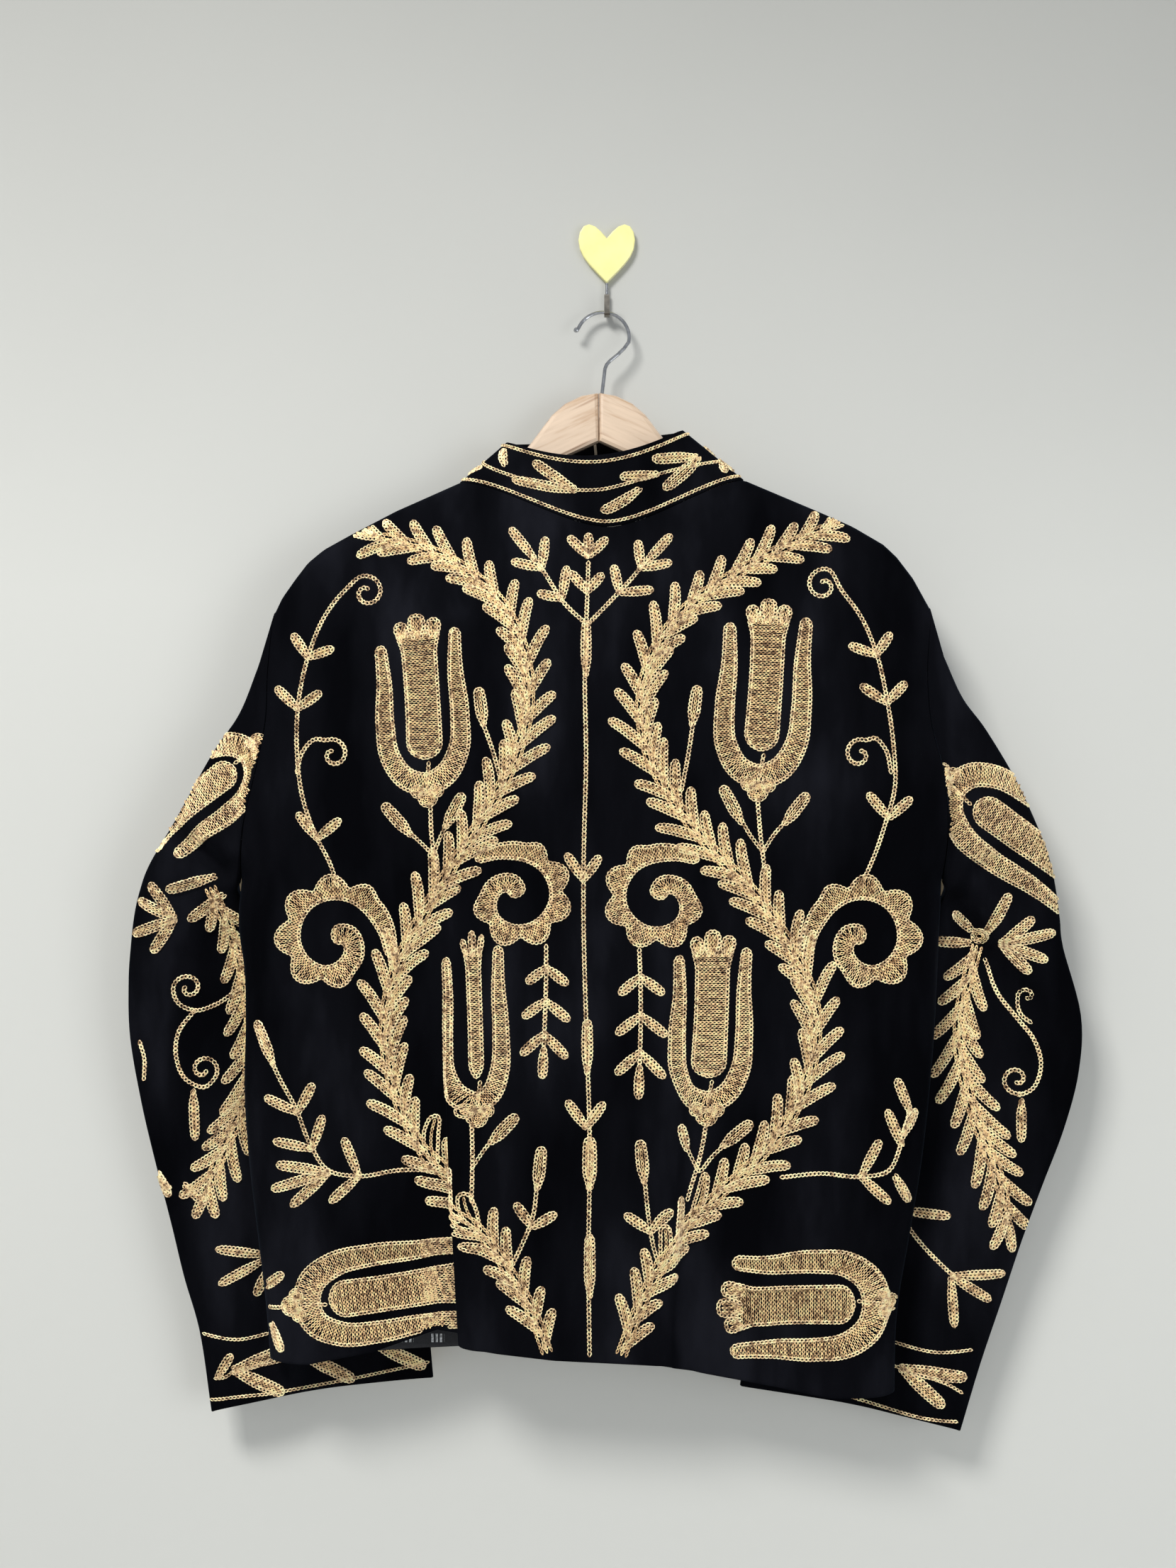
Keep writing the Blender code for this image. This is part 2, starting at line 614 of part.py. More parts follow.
def cloth(
    name, point_at, stations, heights, finish, sign,
    thickness=WALL, wrap=False, inset=0.0, side_of_middle=0, normal_at=None, first_normal=None,
):
    """A cloth wall over a grid of stations and heights.

    inset moves it off another wall, side_of_middle keeps it on one side of the body's
    middle plane, normal_at gives its directions, and first_normal those of its first row.
    """
    u, v = np.meshgrid(stations, heights, indexing="ij")
    points = drawn_in(point_at(u, v), SEAM_GAP, wrap)
    normal = normal_at(u, v) if normal_at else outward(point_at, u, v) * sign
    if first_normal is not None:
        normal[:, 0] = first_normal
    outer = points - normal * inset
    inner = outer - normal * thickness
    if side_of_middle:
        for grid in (outer, inner):
            middle = along_table(DEPTHS, grid[..., 2], 1) + side_of_middle * SEAM_GAP / 2
            beyond = (grid[..., 1] - middle) * side_of_middle
            grid[..., 1] = np.where(beyond < 0, middle, grid[..., 1])
    return wall(name, outer, inner, finish, wrap)


def spaced(*spans):
    """Stations along a line: each span is start, end and how many steps it takes."""
    parts = [np.linspace(start, end, steps + 1)[:-1] for start, end, steps in spans]
    return np.concatenate([*parts, [spans[-1][1]]])


ARMHOLE_ROWS = spaced(
    (0.0, SHOULDER_TURN, 3), (SHOULDER_TURN, 0.37, 7), (0.37, UNDERARM_ROW, 2)
)


def jacket():
    velvet = material("velvet", (0.010, 0.011, 0.016), 0.85)
    lining = material("lining", (0.030, 0.032, 0.038), 0.70)

    across_back = spaced(
        (-1.0, 0.0, 4), (0.0, 0.216, 4), (0.216, 0.328, 14), (0.328, 0.620, 5),
        (0.620, 0.702, 5), (0.702, 0.754, 2), (0.754, 1.0, 4), (1.0, 2.0, 4),
    )
    down_back = np.concatenate([ARMHOLE_ROWS[:-1], spaced((UNDERARM_ROW, 1.0, 13))])
    cloth(
        "back", lambda s, v: panel_point(s, v, True), across_back, down_back, velvet, -1,
        side_of_middle=-1,
    )

    down_front = np.concatenate([ARMHOLE_ROWS[:-1], spaced((UNDERARM_ROW, 1.0, 9))])
    for name, stations in (
        (
            "front_left",
            spaced((-1.0, 0.0, 4), (0.0, NECK_SHARE, 4), (NECK_SHARE, 0.300, 3),
                   (0.300, FRONT_EDGE_LEFT, 3)),
        ),
        (
            "front_right",
            spaced((FRONT_EDGE_RIGHT, 0.700, 3), (0.700, 1 - NECK_SHARE, 3),
                   (1 - NECK_SHARE, 1.0, 4), (1.0, 2.0, 4)),
        ),
    ):
        cloth(
            name, lambda s, v: panel_point(s, v, False), stations, down_front, velvet, 1,
            side_of_middle=1,
        )

    cloth(
        "hem_lining_left", lambda s, v: panel_point(s, v, False),
        spaced((-0.30, 0.0, 2), (0.0, FRONT_EDGE_LEFT - 0.02, 6)),
        spaced((1.0 - HEM_LINING_HEIGHT / FRONT_DROP, 0.999, 1)),
        lining, 1, LINING_WALL, inset=WALL + SEAM_GAP,
    )

    sleeves = (
        ("left", LEFT_SLEEVE, -1, LEFT_SLEEVE_CREASES),
        ("right", RIGHT_SLEEVE, 2, RIGHT_SLEEVE_CREASES),
    )
    for side, rows, edge, creases in sleeves:
        def point_at(angle, w, rows=rows, edge=edge, creases=creases):
            return sleeve_point(angle, w, rows, edge, creases)

        def normal_at(angle, w, rows=rows):
            return sleeve_normal(angle, w, rows)

        angles, normals = armhole_ring(edge)
        along = spaced((0.0, 0.25, 5), (0.25, 0.56, 9), (0.56, 1.0, 8))
        cloth(
            f"sleeve_{side}", point_at, angles, along, velvet, 1,
            wrap=True, normal_at=normal_at, first_normal=normals,
        )
        cuff = spaced((1.0 - CUFF_LINING_HEIGHT / SLEEVE_RUN, 0.999, 1))
        cloth(
            f"cuff_lining_{side}", point_at, angles, cuff, lining, 1,
            LINING_WALL, wrap=True, inset=WALL + SEAM_GAP, normal_at=normal_at,
        )

    round_neck = spaced((-COLLAR_FRONT_END, -0.5, 7), (-0.5, 0.5, 16), (0.5, COLLAR_FRONT_END, 7))
    cloth("collar", collar_point, round_neck, spaced((COLLAR_LIFT, 1.0, 3)), velvet, 1, COLLAR_WALL)


def flat_board(name, outline, thickness, rounding, finish, parent=None):
    """A board cut to an outline in x and z, with rounded rims, standing in the parent's plane."""
    line = np.array(outline)
    run = np.roll(line, -1, 0) - np.roll(line, 1, 0)
    run /= np.linalg.norm(run, axis=1, keepdims=True)
    area = np.sum(line[:, 0] * np.roll(line[:, 1], -1) - np.roll(line[:, 0], -1) * line[:, 1])
    inward = np.stack([-run[:, 1], run[:, 0]], 1) * np.sign(area)
    half = thickness / 2
    rims = ((rounding, half), (rounding * 0.3, half - rounding * 0.3), (0.0, half - rounding))
    profile = [(inset, -y) for inset, y in rims] + list(reversed(rims))
    board = bmesh.new()
    rings = []
    for inset, y in profile:
        ring = line + inward * inset
        rings.append([board.verts.new((x, y, z)) for x, z in ring])
    count = len(line)
    for low, high in zip(rings, rings[1:]):
        for i in range(count):
            k = (i + 1) % count
            board.faces.new((low[i], low[k], high[k], high[i]))
    board.faces.new(rings[0])
    board.faces.new(rings[-1][::-1])
    bmesh.ops.recalc_face_normals(board, faces=board.faces)
    mesh = bpy.data.meshes.new(name)
    board.to_mesh(mesh)
    board.free()
    return finished(name, mesh, finish, parent)


def hanger_height(z):
    """A height in the frame, measured from the hanger's pivot."""
    return z - PIVOT[2]


def hanger_arm(side):
    """Outline of one arm, from the centre seam out along the top and back underneath."""
    seam = HANGER_SEAM / 2
    top = [(max(out, seam), HANGER_TOP - drop) for out, drop in HANGER_NECK]
    for out in np.linspace(HANGER_MEETS_SHOULDER, HANGER_END, 7):
        x = HANGER_CENTRE + side * out
        top.append((out, float(shoulder_height(x)) - HANGER_UNDER_CLOTH))
    end_low = HANGER_NOTCH - HANGER_UNDER_SLOPE * HANGER_END
    end_high = top[-1][1]
    end = []
    for turn in np.linspace(math.pi / 2, -math.pi / 2, 7)[1:-1]:
        reach = HANGER_END_ROUND * math.cos(turn)
        height = (end_high + end_low) / 2 + (end_high - end_low) / 2 * math.sin(turn)
        end.append((HANGER_END + reach, height))
    under = [
        (out, HANGER_NOTCH - HANGER_UNDER_SLOPE * out)
        for out in (HANGER_END, HANGER_UNDER_POINT, seam)
    ]
    return [
        (HANGER_CENTRE - PIVOT[0] + side * out, hanger_height(z)) for out, z in top + end + under
    ]


def wire(name, points, radii, finish, parent=None):
    """A round wire in the plane y = 0 through its points, with a radius at each."""
    line = np.array(points)
    run = np.gradient(line, axis=0)
    run /= np.linalg.norm(run, axis=1, keepdims=True)
    side = np.stack([run[:, 1], -run[:, 0]], 1)
    rod = bmesh.new()
    rings = []
    for (x, z), (side_x, side_z), radius in zip(line, side, radii):
        ring = []
        for turn in np.linspace(0, 2 * math.pi, WIRE_SIDES, endpoint=False):
            out = radius * math.cos(turn)
            ring.append(rod.verts.new((x + side_x * out, radius * math.sin(turn), z + side_z * out)))
        rings.append(ring)
    for low, high in zip(rings, rings[1:]):
        for i in range(WIRE_SIDES):
            k = (i + 1) % WIRE_SIDES
            rod.faces.new((low[i], low[k], high[k], high[i]))
    rod.faces.new(rings[0])
    rod.faces.new(rings[-1][::-1])
    bmesh.ops.recalc_face_normals(rod, faces=rod.faces)
    mesh = bpy.data.meshes.new(name)
    rod.to_mesh(mesh)
    rod.free()
    mesh.shade_smooth()
    return finished(name, mesh, finish, parent)


def hanger():
    wood = material("wood", (0.80, 0.62, 0.42), 0.55)
    chrome = material("chrome", (0.75, 0.76, 0.78), 0.15, 1.0)
    pivot = bpy.data.objects.new("hanger_pivot", None)
    COLLECTION.objects.link(pivot)
    pivot.location = PIVOT
    leaning = Matrix.Identity(4)
    leaning[1][2] = math.tan(HANGER_LEAN)
    for name, side in (("hanger_arm_left", -1), ("hanger_arm_right", 1)):
        outline = hanger_arm(side)
        arm = flat_board(name, outline, HANGER_THICKNESS, HANGER_EDGE_ROUND, wood, pivot)
        arm.data.transform(leaning)

    points = [(HOOK_FOOT_X, hanger_height(HANGER_TOP) + SEAM_GAP)]
    points += [(x, hanger_height(z)) for x, z in HOOK_SHAFT]
    for turn in np.linspace(HOOK_START_ANGLE, HOOK_TIP_ANGLE, 20):
        across_loop = HOOK_RADIUS * math.cos(turn)
        points.append((HOOK_CENTRE_X + across_loop, HOOK_RADIUS * (math.sin(turn) - 1)))
    radii = [WIRE_RADIUS] * len(points)
    tip_x, tip_z = points[-1]
    for ahead, share in BALL_PROFILE:
        points.append((tip_x - ahead * BALL_RUN[0], tip_z - ahead * BALL_RUN[1]))
        radii.append(HOOK_BALL_RADIUS * share)
    hook = wire("hanger_hook", points, radii, chrome, pivot)
    hook.data.transform(leaning)


def heart_outline(steps=28):
    """A heart: the classic sine curve, fitted to the pad's width and height."""
    turns = np.linspace(0.0, 2 * math.pi, steps, endpoint=False)
    x = np.sign(np.sin(turns)) * np.abs(np.sin(turns)) ** HEART_POWER
    z = 13 * np.cos(turns) - 5 * np.cos(2 * turns) - 2 * np.cos(3 * turns) - np.cos(4 * turns)
    x = x / (x.max() - x.min()) * PAD_WIDTH
    z = z / (z.max() - z.min()) * PAD_HEIGHT
    z = z - (z.max() + z.min()) / 2
    return list(zip(x.tolist(), z.tolist()))


def bent_strip(line, finish):
    """A flat strip bent along points in y and z."""
    line = np.array(line)
    run = np.gradient(line, axis=0)
    run /= np.linalg.norm(run, axis=1, keepdims=True)
    side = np.stack([-run[:, 1], run[:, 0]], 1) * STRIP_THICKNESS / 2
    strip = bmesh.new()
    profile = []
    for x in (-STRIP_WIDTH / 2, STRIP_WIDTH / 2):
        ring = [strip.verts.new((x, y, z)) for y, z in line + side]
        ring += [strip.verts.new((x, y, z)) for y, z in (line - side)[::-1]]
        profile.append(ring)
    left, right = profile
    count = len(left)
    for i in range(count):
        k = (i + 1) % count
        strip.faces.new((left[i], left[k], right[k], right[i]))
    for ring in profile:
        for i in range(len(line) - 1):
            strip.faces.new((ring[i], ring[i + 1], ring[count - 2 - i], ring[count - 1 - i]))
    bmesh.ops.recalc_face_normals(strip, faces=strip.faces)
    mesh = bpy.data.meshes.new("wall_hook_strip")
    strip.to_mesh(mesh)
    strip.free()
    return finished("wall_hook_strip", mesh, finish)


def wall_hook():
    pad_colour = material("pad", (0.88, 0.85, 0.45), 0.35)
    steel = material("steel", (0.30, 0.28, 0.25), 0.30, 1.0)
    pad = flat_board("wall_hook_pad", heart_outline(), PAD_THICKNESS, PAD_EDGE_ROUND, pad_colour)
    pad.location = (0.0, -PAD_THICKNESS / 2, 0.0)
    stem_y = PIVOT[1] + STRIP_BEND
    pin_top = -PAD_HEIGHT / 2 - SEAM_GAP
    bpy.ops.mesh.primitive_cylinder_add(
        vertices=16, radius=PIN_RADIUS, depth=pin_top - PIN_BOTTOM,
        location=(0.0, stem_y, (pin_top + PIN_BOTTOM) / 2),
    )
    pin = bpy.context.object
    pin.name = "wall_hook_pin"
    pin.data.materials.append(bpy.data.materials["chrome"])
    for owner in list(pin.users_collection):
        owner.objects.unlink(pin)
    COLLECTION.objects.link(pin)

    # The strip goes under the loop where its own edge meets it
    off_top = STRIP_WIDTH / 2 - HOOK_CENTRE_X
    loop_drop = HOOK_RADIUS - math.sqrt(HOOK_RADIUS**2 - off_top**2)
    below_wire = WIRE_RADIUS + loop_drop + SEAM_GAP + STRIP_THICKNESS / 2
    bend_z = PIVOT[2] - below_wire + STRIP_BEND
    line = [(stem_y, PIN_BOTTOM - SEAM_GAP)]
    for turn in np.linspace(0.0, -math.pi, 13):
        line.append((PIVOT[1] + STRIP_BEND * math.cos(turn), bend_z + STRIP_BEND * math.sin(turn)))
    line.append((PIVOT[1] - STRIP_BEND - LIP_LEAN, LIP_TOP))
    bent_strip(line, steel)


for item in list(bpy.data.objects):
    bpy.data.objects.remove(item, do_unlink=True)
COLLECTION = bpy.data.collections.new("jacket on hanger")
bpy.context.scene.collection.children.link(COLLECTION)
jacket()
hanger()
wall_hook()
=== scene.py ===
import json
import math

import bmesh
import bpy
import numpy as np
from bpy.props import FloatProperty, FloatVectorProperty, PointerProperty
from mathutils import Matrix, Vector
from mathutils.bvhtree import BVHTree

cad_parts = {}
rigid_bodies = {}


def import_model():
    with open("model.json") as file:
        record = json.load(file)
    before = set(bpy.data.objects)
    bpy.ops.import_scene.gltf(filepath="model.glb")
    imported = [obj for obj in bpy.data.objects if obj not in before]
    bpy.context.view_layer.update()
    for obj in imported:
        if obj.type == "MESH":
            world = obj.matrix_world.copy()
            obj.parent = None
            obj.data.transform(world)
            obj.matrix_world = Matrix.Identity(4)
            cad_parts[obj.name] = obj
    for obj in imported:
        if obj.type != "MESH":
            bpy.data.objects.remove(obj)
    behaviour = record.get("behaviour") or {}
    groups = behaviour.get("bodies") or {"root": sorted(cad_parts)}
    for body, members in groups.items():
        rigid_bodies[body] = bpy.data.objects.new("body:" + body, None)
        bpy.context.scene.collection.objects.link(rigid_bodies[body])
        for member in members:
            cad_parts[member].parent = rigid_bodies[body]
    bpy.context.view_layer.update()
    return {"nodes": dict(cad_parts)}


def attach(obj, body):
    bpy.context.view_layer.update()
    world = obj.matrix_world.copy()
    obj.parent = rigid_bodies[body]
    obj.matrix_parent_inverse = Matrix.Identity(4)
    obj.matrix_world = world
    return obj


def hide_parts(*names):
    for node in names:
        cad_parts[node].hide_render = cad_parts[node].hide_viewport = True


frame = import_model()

bl_info = {
    "name": "Embroidered velvet jacket",
    "version": (1, 0, 0),
    "blender": (4, 5, 0),
    "location": "3D View > Sidebar > Jacket",
    "description": "Dresses a hanging velvet jacket: cloth, embroidery, hanger and stage",
    "category": "Object",
}

# Frame: metres, +Z up, the wall at y = 0 and the jacket's back towards -Y.
# Embroidery is laid out on the cloth in millimetres: x across, z up, from the same origin.
MM = 0.001
BODY = "root"

# Cloth
WALL = 0.0020
COLLAR_WALL = 0.0022
SEAM_GAP = 0.0003
ARMHOLE_GAP = 0.0006
LINING_WALL = 0.0010
RIM_ROUND = 0.35  # how far a cut edge bulges, as a share of the wall
SHARP_ANGLE = math.radians(60)
CUFF_LINING_HEIGHT = 0.022
HEM_LINING_HEIGHT = 0.030

# Body outline, seen from behind: height, left side, right side
SIDE_LINES = (
    (-0.100, -0.280, 0.271),
    (-0.320, -0.280, 0.271),
    (-0.370, -0.284, 0.267),
    (-0.410, -0.285, 0.269),
    (-0.450, -0.292, 0.278),
    (-0.490, -0.301, 0.282),
    (-0.545, -0.308, 0.281),
    (-0.580, -0.310, 0.279),
    (-0.620, -0.305, 0.277),
    (-0.660, -0.304, 0.275),
    (-0.720, -0.305, 0.270),
    (-0.780, -0.301, 0.263),
    (-0.840, -0.294, 0.253),
    (-0.900, -0.287, 0.243),
    (-0.980, -0.281, 0.240),
)
# Depth of the body: height, middle plane, bulge of the back, bulge of the fronts
DEPTHS = (
    (-0.100, -0.0190, 0.012, 0.011),
    (-0.206, -0.0363, 0.016, 0.011),
    (-0.262, -0.0455, 0.019, 0.011),
    (-0.320, -0.0520, 0.021, 0.012),
    (-0.410, -0.0560, 0.023, 0.012),
    (-0.545, -0.0580, 0.025, 0.011),
    (-0.660, -0.0590, 0.025, 0.011),
    (-0.840, -0.0590, 0.024, 0.012),
    (-0.980, -0.0590, 0.022, 0.013),
)
# Shoulder line over the hanger, left to right
SHOULDER_LINE = (
    (-0.2810, -0.3200),
    (-0.2743, -0.3051),
    (-0.2628, -0.2881),
    (-0.2531, -0.2750),
    (-0.2403, -0.2640),
    (-0.2178, -0.2511),
    (-0.1795, -0.2304),
    (-0.1267, -0.2061),
    (-0.0045, -0.1500),
    (0.1176, -0.2037),
    (0.1814, -0.2316),
    (0.2081, -0.2438),
    (0.2342, -0.2596),
    (0.2446, -0.2699),
    (0.2579, -0.2881),
    (0.2713, -0.3136),
)
SHOULDER_ROUND = 0.0135
SHOULDER_TURN = 0.10
UNDERARM_ROW = 0.40
SHOULDER_SPREAD = 0.160
SIDE_ROUND = 0.035
UNDERARM_HEIGHT = -0.545
ARMHOLE_CLOSING = 0.28
SIDE_CLOSING = 0.040
CREASE_END = 0.12  # how far a crease fades past its ends, as a share

# Neck and collar
NECK_LEFT, NECK_RIGHT = -0.1267, 0.1176
NECK_BACK_LOW = -0.2465
NECK_FRONT_LOW = -0.2360
NECK_CURVE = 1.8
COLLAR_TOP_MIDDLE = -0.0106
COLLAR_TOP_HALF_WIDTH = 0.0755
COLLAR_TOP_BACK = -0.1880
COLLAR_TOP_RISE = 0.0224
COLLAR_TOP_TILT = 0.0052
COLLAR_TOP_PLANE = -0.0345
COLLAR_TOP_BACK_REACH = 0.033
COLLAR_TOP_FRONT_REACH = 0.023
COLLAR_FRONT_END = 0.996
COLLAR_LIFT = 0.022

# Where the search for the top edge begins, and its number of steps
TOP_START = -0.25
TOP_STEPS = 40

# Fronts and hems
FRONT_EDGE_LEFT, FRONT_EDGE_RIGHT = 0.505, 0.530
FRONT_HEM = -0.936
FRONT_HEM_CURVE = 0.010
FRONT_DROP = 0.70
BACK_HEM = (
    (0.000, -0.9435),
    (0.120, -0.9330),
    (0.240, -0.9140),
    (0.318, -0.9275),
    (0.350, -0.9300),
    (0.450, -0.9354),
    (0.550, -0.9377),
    (0.640, -0.9400),
    (0.720, -0.9490),
    (0.850, -0.9600),
    (0.950, -0.9700),
    (1.000, -0.9700),
)
# Long folds of the back: place across it, how far the place drifts to the hem,
# half width, overlap and step towards the viewer
BACK_FOLDS = (
    {"place": 0.258, "drift": 0.027, "half": 0.040, "overlap": 0.0105, "step": 0.0150},
    {"place": 0.655, "drift": 0.012, "half": 0.034, "overlap": 0.0030, "step": -0.0100},
)
FOLD_START, FOLD_FULL, FOLD_HEM = -0.520, -0.880, -0.960

# Sleeves: outer x, outer z, inner x, inner z, outer plane, inner plane, half depth
LEFT_SLEEVE = (
    (-0.2927, -0.3592, -0.3104, -0.5482, -0.055, -0.057, 0.014),
    (-0.3097, -0.4021, -0.3110, -0.5500, -0.055, -0.056, 0.016),
    (-0.3332, -0.4371, -0.3112, -0.5525, -0.054, -0.054, 0.018),
    (-0.3640, -0.4921, -0.3103, -0.5565, -0.053, -0.050, 0.020),
    (-0.3863, -0.5295, -0.3060, -0.5645, -0.051, -0.044, 0.020),
    (-0.3950, -0.5520, -0.2960, -0.5800, -0.050, -0.037, 0.020),
    (-0.4002, -0.5736, -0.2780, -0.6000, -0.049, -0.031, 0.019),
    (-0.4035, -0.6000, -0.2560, -0.6240, -0.048, -0.028, 0.018),
    (-0.4057, -0.6304, -0.2335, -0.6522, -0.047, -0.026, 0.017),
    (-0.4051, -0.6763, -0.2124, -0.6944, -0.045, -0.025, 0.016),
    (-0.3966, -0.7295, -0.1943, -0.7428, -0.043, -0.025, 0.016),
    (-0.3863, -0.7760, -0.1816, -0.7911, -0.042, -0.024, 0.015),
    (-0.3712, -0.8358, -0.1695, -0.8394, -0.041, -0.024, 0.015),
    (-0.3604, -0.8817, -0.1611, -0.8817, -0.040, -0.024, 0.015),
    (-0.3470, -0.9300, -0.1545, -0.9200, -0.039, -0.024, 0.015),
    (-0.3374, -0.9976, -0.1496, -0.9729, -0.038, -0.024, 0.014),
)
RIGHT_SLEEVE = (
    (0.2829, -0.3532, 0.2834, -0.5490, -0.055, -0.057, 0.014),
    (0.2992, -0.3894, 0.2841, -0.5508, -0.055, -0.056, 0.016),
    (0.3191, -0.4166, 0.2844, -0.5533, -0.054, -0.054, 0.018),
    (0.3445, -0.4589, 0.2836, -0.5573, -0.053, -0.050, 0.020),
    (0.3650, -0.5024, 0.2798, -0.5650, -0.051, -0.044, 0.020),
    (0.3740, -0.5270, 0.2705, -0.5800, -0.050, -0.037, 0.020),
    (0.3789, -0.5489, 0.2540, -0.6010, -0.049, -0.031, 0.019),
    (0.3830, -0.5760, 0.2340, -0.6260, -0.048, -0.028, 0.018),
    (0.3862, -0.6008, 0.2134, -0.6552, -0.047, -0.026, 0.017),
    (0.4019, -0.6582, 0.1923, -0.7005, -0.045, -0.025, 0.016),
    (0.4007, -0.7065, 0.1772, -0.7428, -0.043, -0.025, 0.016),
    (0.3886, -0.7548, 0.1633, -0.7851, -0.042, -0.024, 0.015),
    (0.3705, -0.8032, 0.1506, -0.8243, -0.041, -0.024, 0.015),
    (0.3529, -0.8515, 0.1397, -0.8636, -0.040, -0.024, 0.015),
    (0.3354, -0.9046, 0.1276, -0.9058, -0.039, -0.024, 0.015),
    (0.3180, -0.9560, 0.1200, -0.9420, -0.039, -0.024, 0.015),
    (0.3010, -1.0140, 0.1144, -0.9801, -0.038, -0.024, 0.014),
)
CUFF_RISE = 0.0070  # how much shorter the side towards the viewer is, as a share
CUFF_RISE_FROM = 0.85
SLEEVE_BLEND_ROWS = 3.0
SLEEVE_SHIFT_FROM, SLEEVE_SHIFT_TO = 0.05, 0.60
SLEEVE_CLEARANCE = 0.0030
SLEEVE_FALL = 1.5
SLEEVE_JOINED = 0.060
SLEEVE_JOIN_RISE = 0.005
SLEEVE_JOIN_SPAN = 0.015
SLEEVE_CREASE_POWER = 1.5  # how fast creases fade towards the sleeve's edges
SLEEVE_SOFTNESS = 0.004
SLEEVE_LEAST_DEPTH = 0.015
SLEEVE_FLATNESS = 0.75

# Creases that push the cloth towards the wall: start x, z, end x, z, width, depth
BACK_CREASES = (
    (-0.122, -0.330, -0.112, -0.640, 0.0100, -0.0022),
    (-0.100, -0.560, -0.098, -0.900, 0.0110, 0.0020),
    (0.118, -0.640, 0.130, -0.940, 0.0120, -0.0020),
    (-0.250, -0.420, -0.262, -0.900, 0.0240, 0.0022),
    (0.236, -0.480, 0.205, -0.930, 0.0230, 0.0022),
    (0.020, -0.540, 0.030, -0.930, 0.0260, 0.0016),
    (-0.275, -0.500, -0.180, -0.590, 0.0180, 0.0022),
    (0.255, -0.505, 0.170, -0.600, 0.0180, 0.0022),
    (-0.180, -0.250, -0.150, -0.420, 0.0200, 0.0016),
    (0.170, -0.245, 0.150, -0.430, 0.0200, 0.0016),
)
FRONT_CREASES = (
    (-0.170, -0.300, -0.190, -0.880, 0.0200, -0.0030),
    (-0.080, -0.420, -0.070, -0.920, 0.0170, -0.0024),
    (0.120, -0.300, 0.160, -0.880, 0.0210, -0.0030),
    (0.060, -0.460, 0.070, -0.920, 0.0160, -0.0022),
    (-0.270, -0.500, -0.180, -0.600, 0.0160, -0.0030),
    (0.250, -0.500, 0.170, -0.610, 0.0160, -0.0030),
)
LEFT_SLEEVE_CREASES = (
    (-0.3650, -0.5000, -0.3170, -0.5400, 0.0100, 0.0110),
    (-0.3560, -0.4850, -0.3080, -0.5230, 0.0120, -0.0050),
    (-0.3930, -0.5480, -0.3500, -0.5340, 0.0110, -0.0050),
    (-0.3300, -0.5900, -0.3150, -0.6900, 0.0180, 0.0050),
    (-0.3980, -0.5950, -0.3350, -0.6180, 0.0080, 0.0022),
    (-0.3900, -0.7200, -0.3560, -0.9100, 0.0130, 0.0026),
    (-0.3120, -0.7600, -0.2960, -0.9000, 0.0120, -0.0020),
)
RIGHT_SLEEVE_CREASES = (
    (0.2900, -0.5560, 0.3240, -0.6100, 0.0110, 0.0120),
    (0.3240, -0.6100, 0.3900, -0.6820, 0.0110, 0.0090),
    (0.3120, -0.5480, 0.3700, -0.6280, 0.0150, -0.0050),
    (0.3450, -0.5150, 0.3050, -0.5360, 0.0090, 0.0040),
    (0.3880, -0.7000, 0.3420, -0.8700, 0.0130, 0.0026),
    (0.2900, -0.7500, 0.2700, -0.9200, 0.0120, -0.0020),
)
SLEEVE_BACK_CREASE_DEPTH = 0.45  # share of them that shows on the side towards the wall

# Chain stitch
LINK = 3.3
LINK_WIDTH = 3.5
STEM_WIDTH = 3.9
BORDER_WIDTH = 3.0
FILL_WIDTH = 2.75
STITCH_HEIGHT = 0.0013
ROW = 3.05
RUNG = 3.05
EDGE_MARGIN = 0.0030
SIDE_MARGIN = 0.004
FOLD_TURN = -0.12
LONGEST_LINK = 1.8
UNEVEN = 0.28
LINK_UNEVEN = 0.20


def smooth(value):
    """A soft step from 0 to 1."""
    value = np.clip(value, 0.0, 1.0)
    return value * value * (3.0 - 2.0 * value)


def unit(vectors):
    return vectors / np.maximum(np.linalg.norm(vectors, axis=-1, keepdims=True), 1e-9)


def through_points(at, value, key):
    """A smooth curve through value at the sorted places at, read at key."""
    value = np.asarray(value, float)
    slope = np.gradient(value, at, axis=0)
    key = np.clip(key, at[0], at[-1])
    i = np.clip(np.searchsorted(at, key, side="right") - 1, 0, len(at) - 2)
    span = at[i + 1] - at[i]
    t = (key - at[i]) / span
    if value.ndim > 1:
        span, t = span[..., None], t[..., None]
    return (
        (2 * t**3 - 3 * t**2 + 1) * value[i]
        + (t**3 - 2 * t**2 + t) * span * slope[i]
        + (-2 * t**3 + 3 * t**2) * value[i + 1]
        + (t**3 - t**2) * span * slope[i + 1]
    )


def along_table(rows, key, column):
    """A column of a table, read smoothly at key by the table's first column."""
    rows = sorted(rows, key=lambda row: row[0])
    at = np.array([row[0] for row in rows])
    return through_points(at, [row[column] for row in rows], key)


def side_lines(z):
    return along_table(SIDE_LINES, z, 1), along_table(SIDE_LINES, z, 2)


def shoulder_height(x):
    at = [row[0] for row in SHOULDER_LINE]
    return np.interp(x, at, [row[1] for row in SHOULDER_LINE])


def edge_share(s):
    """At station s: the turn of the left edge, of the right edge, and the share of the flat."""
    left = np.clip(s + 1.0, 0.0, 1.0) * math.pi / 2
    right = np.clip(2.0 - s, 0.0, 1.0) * math.pi / 2
    return left, right, np.clip(s, 0.0, 1.0)


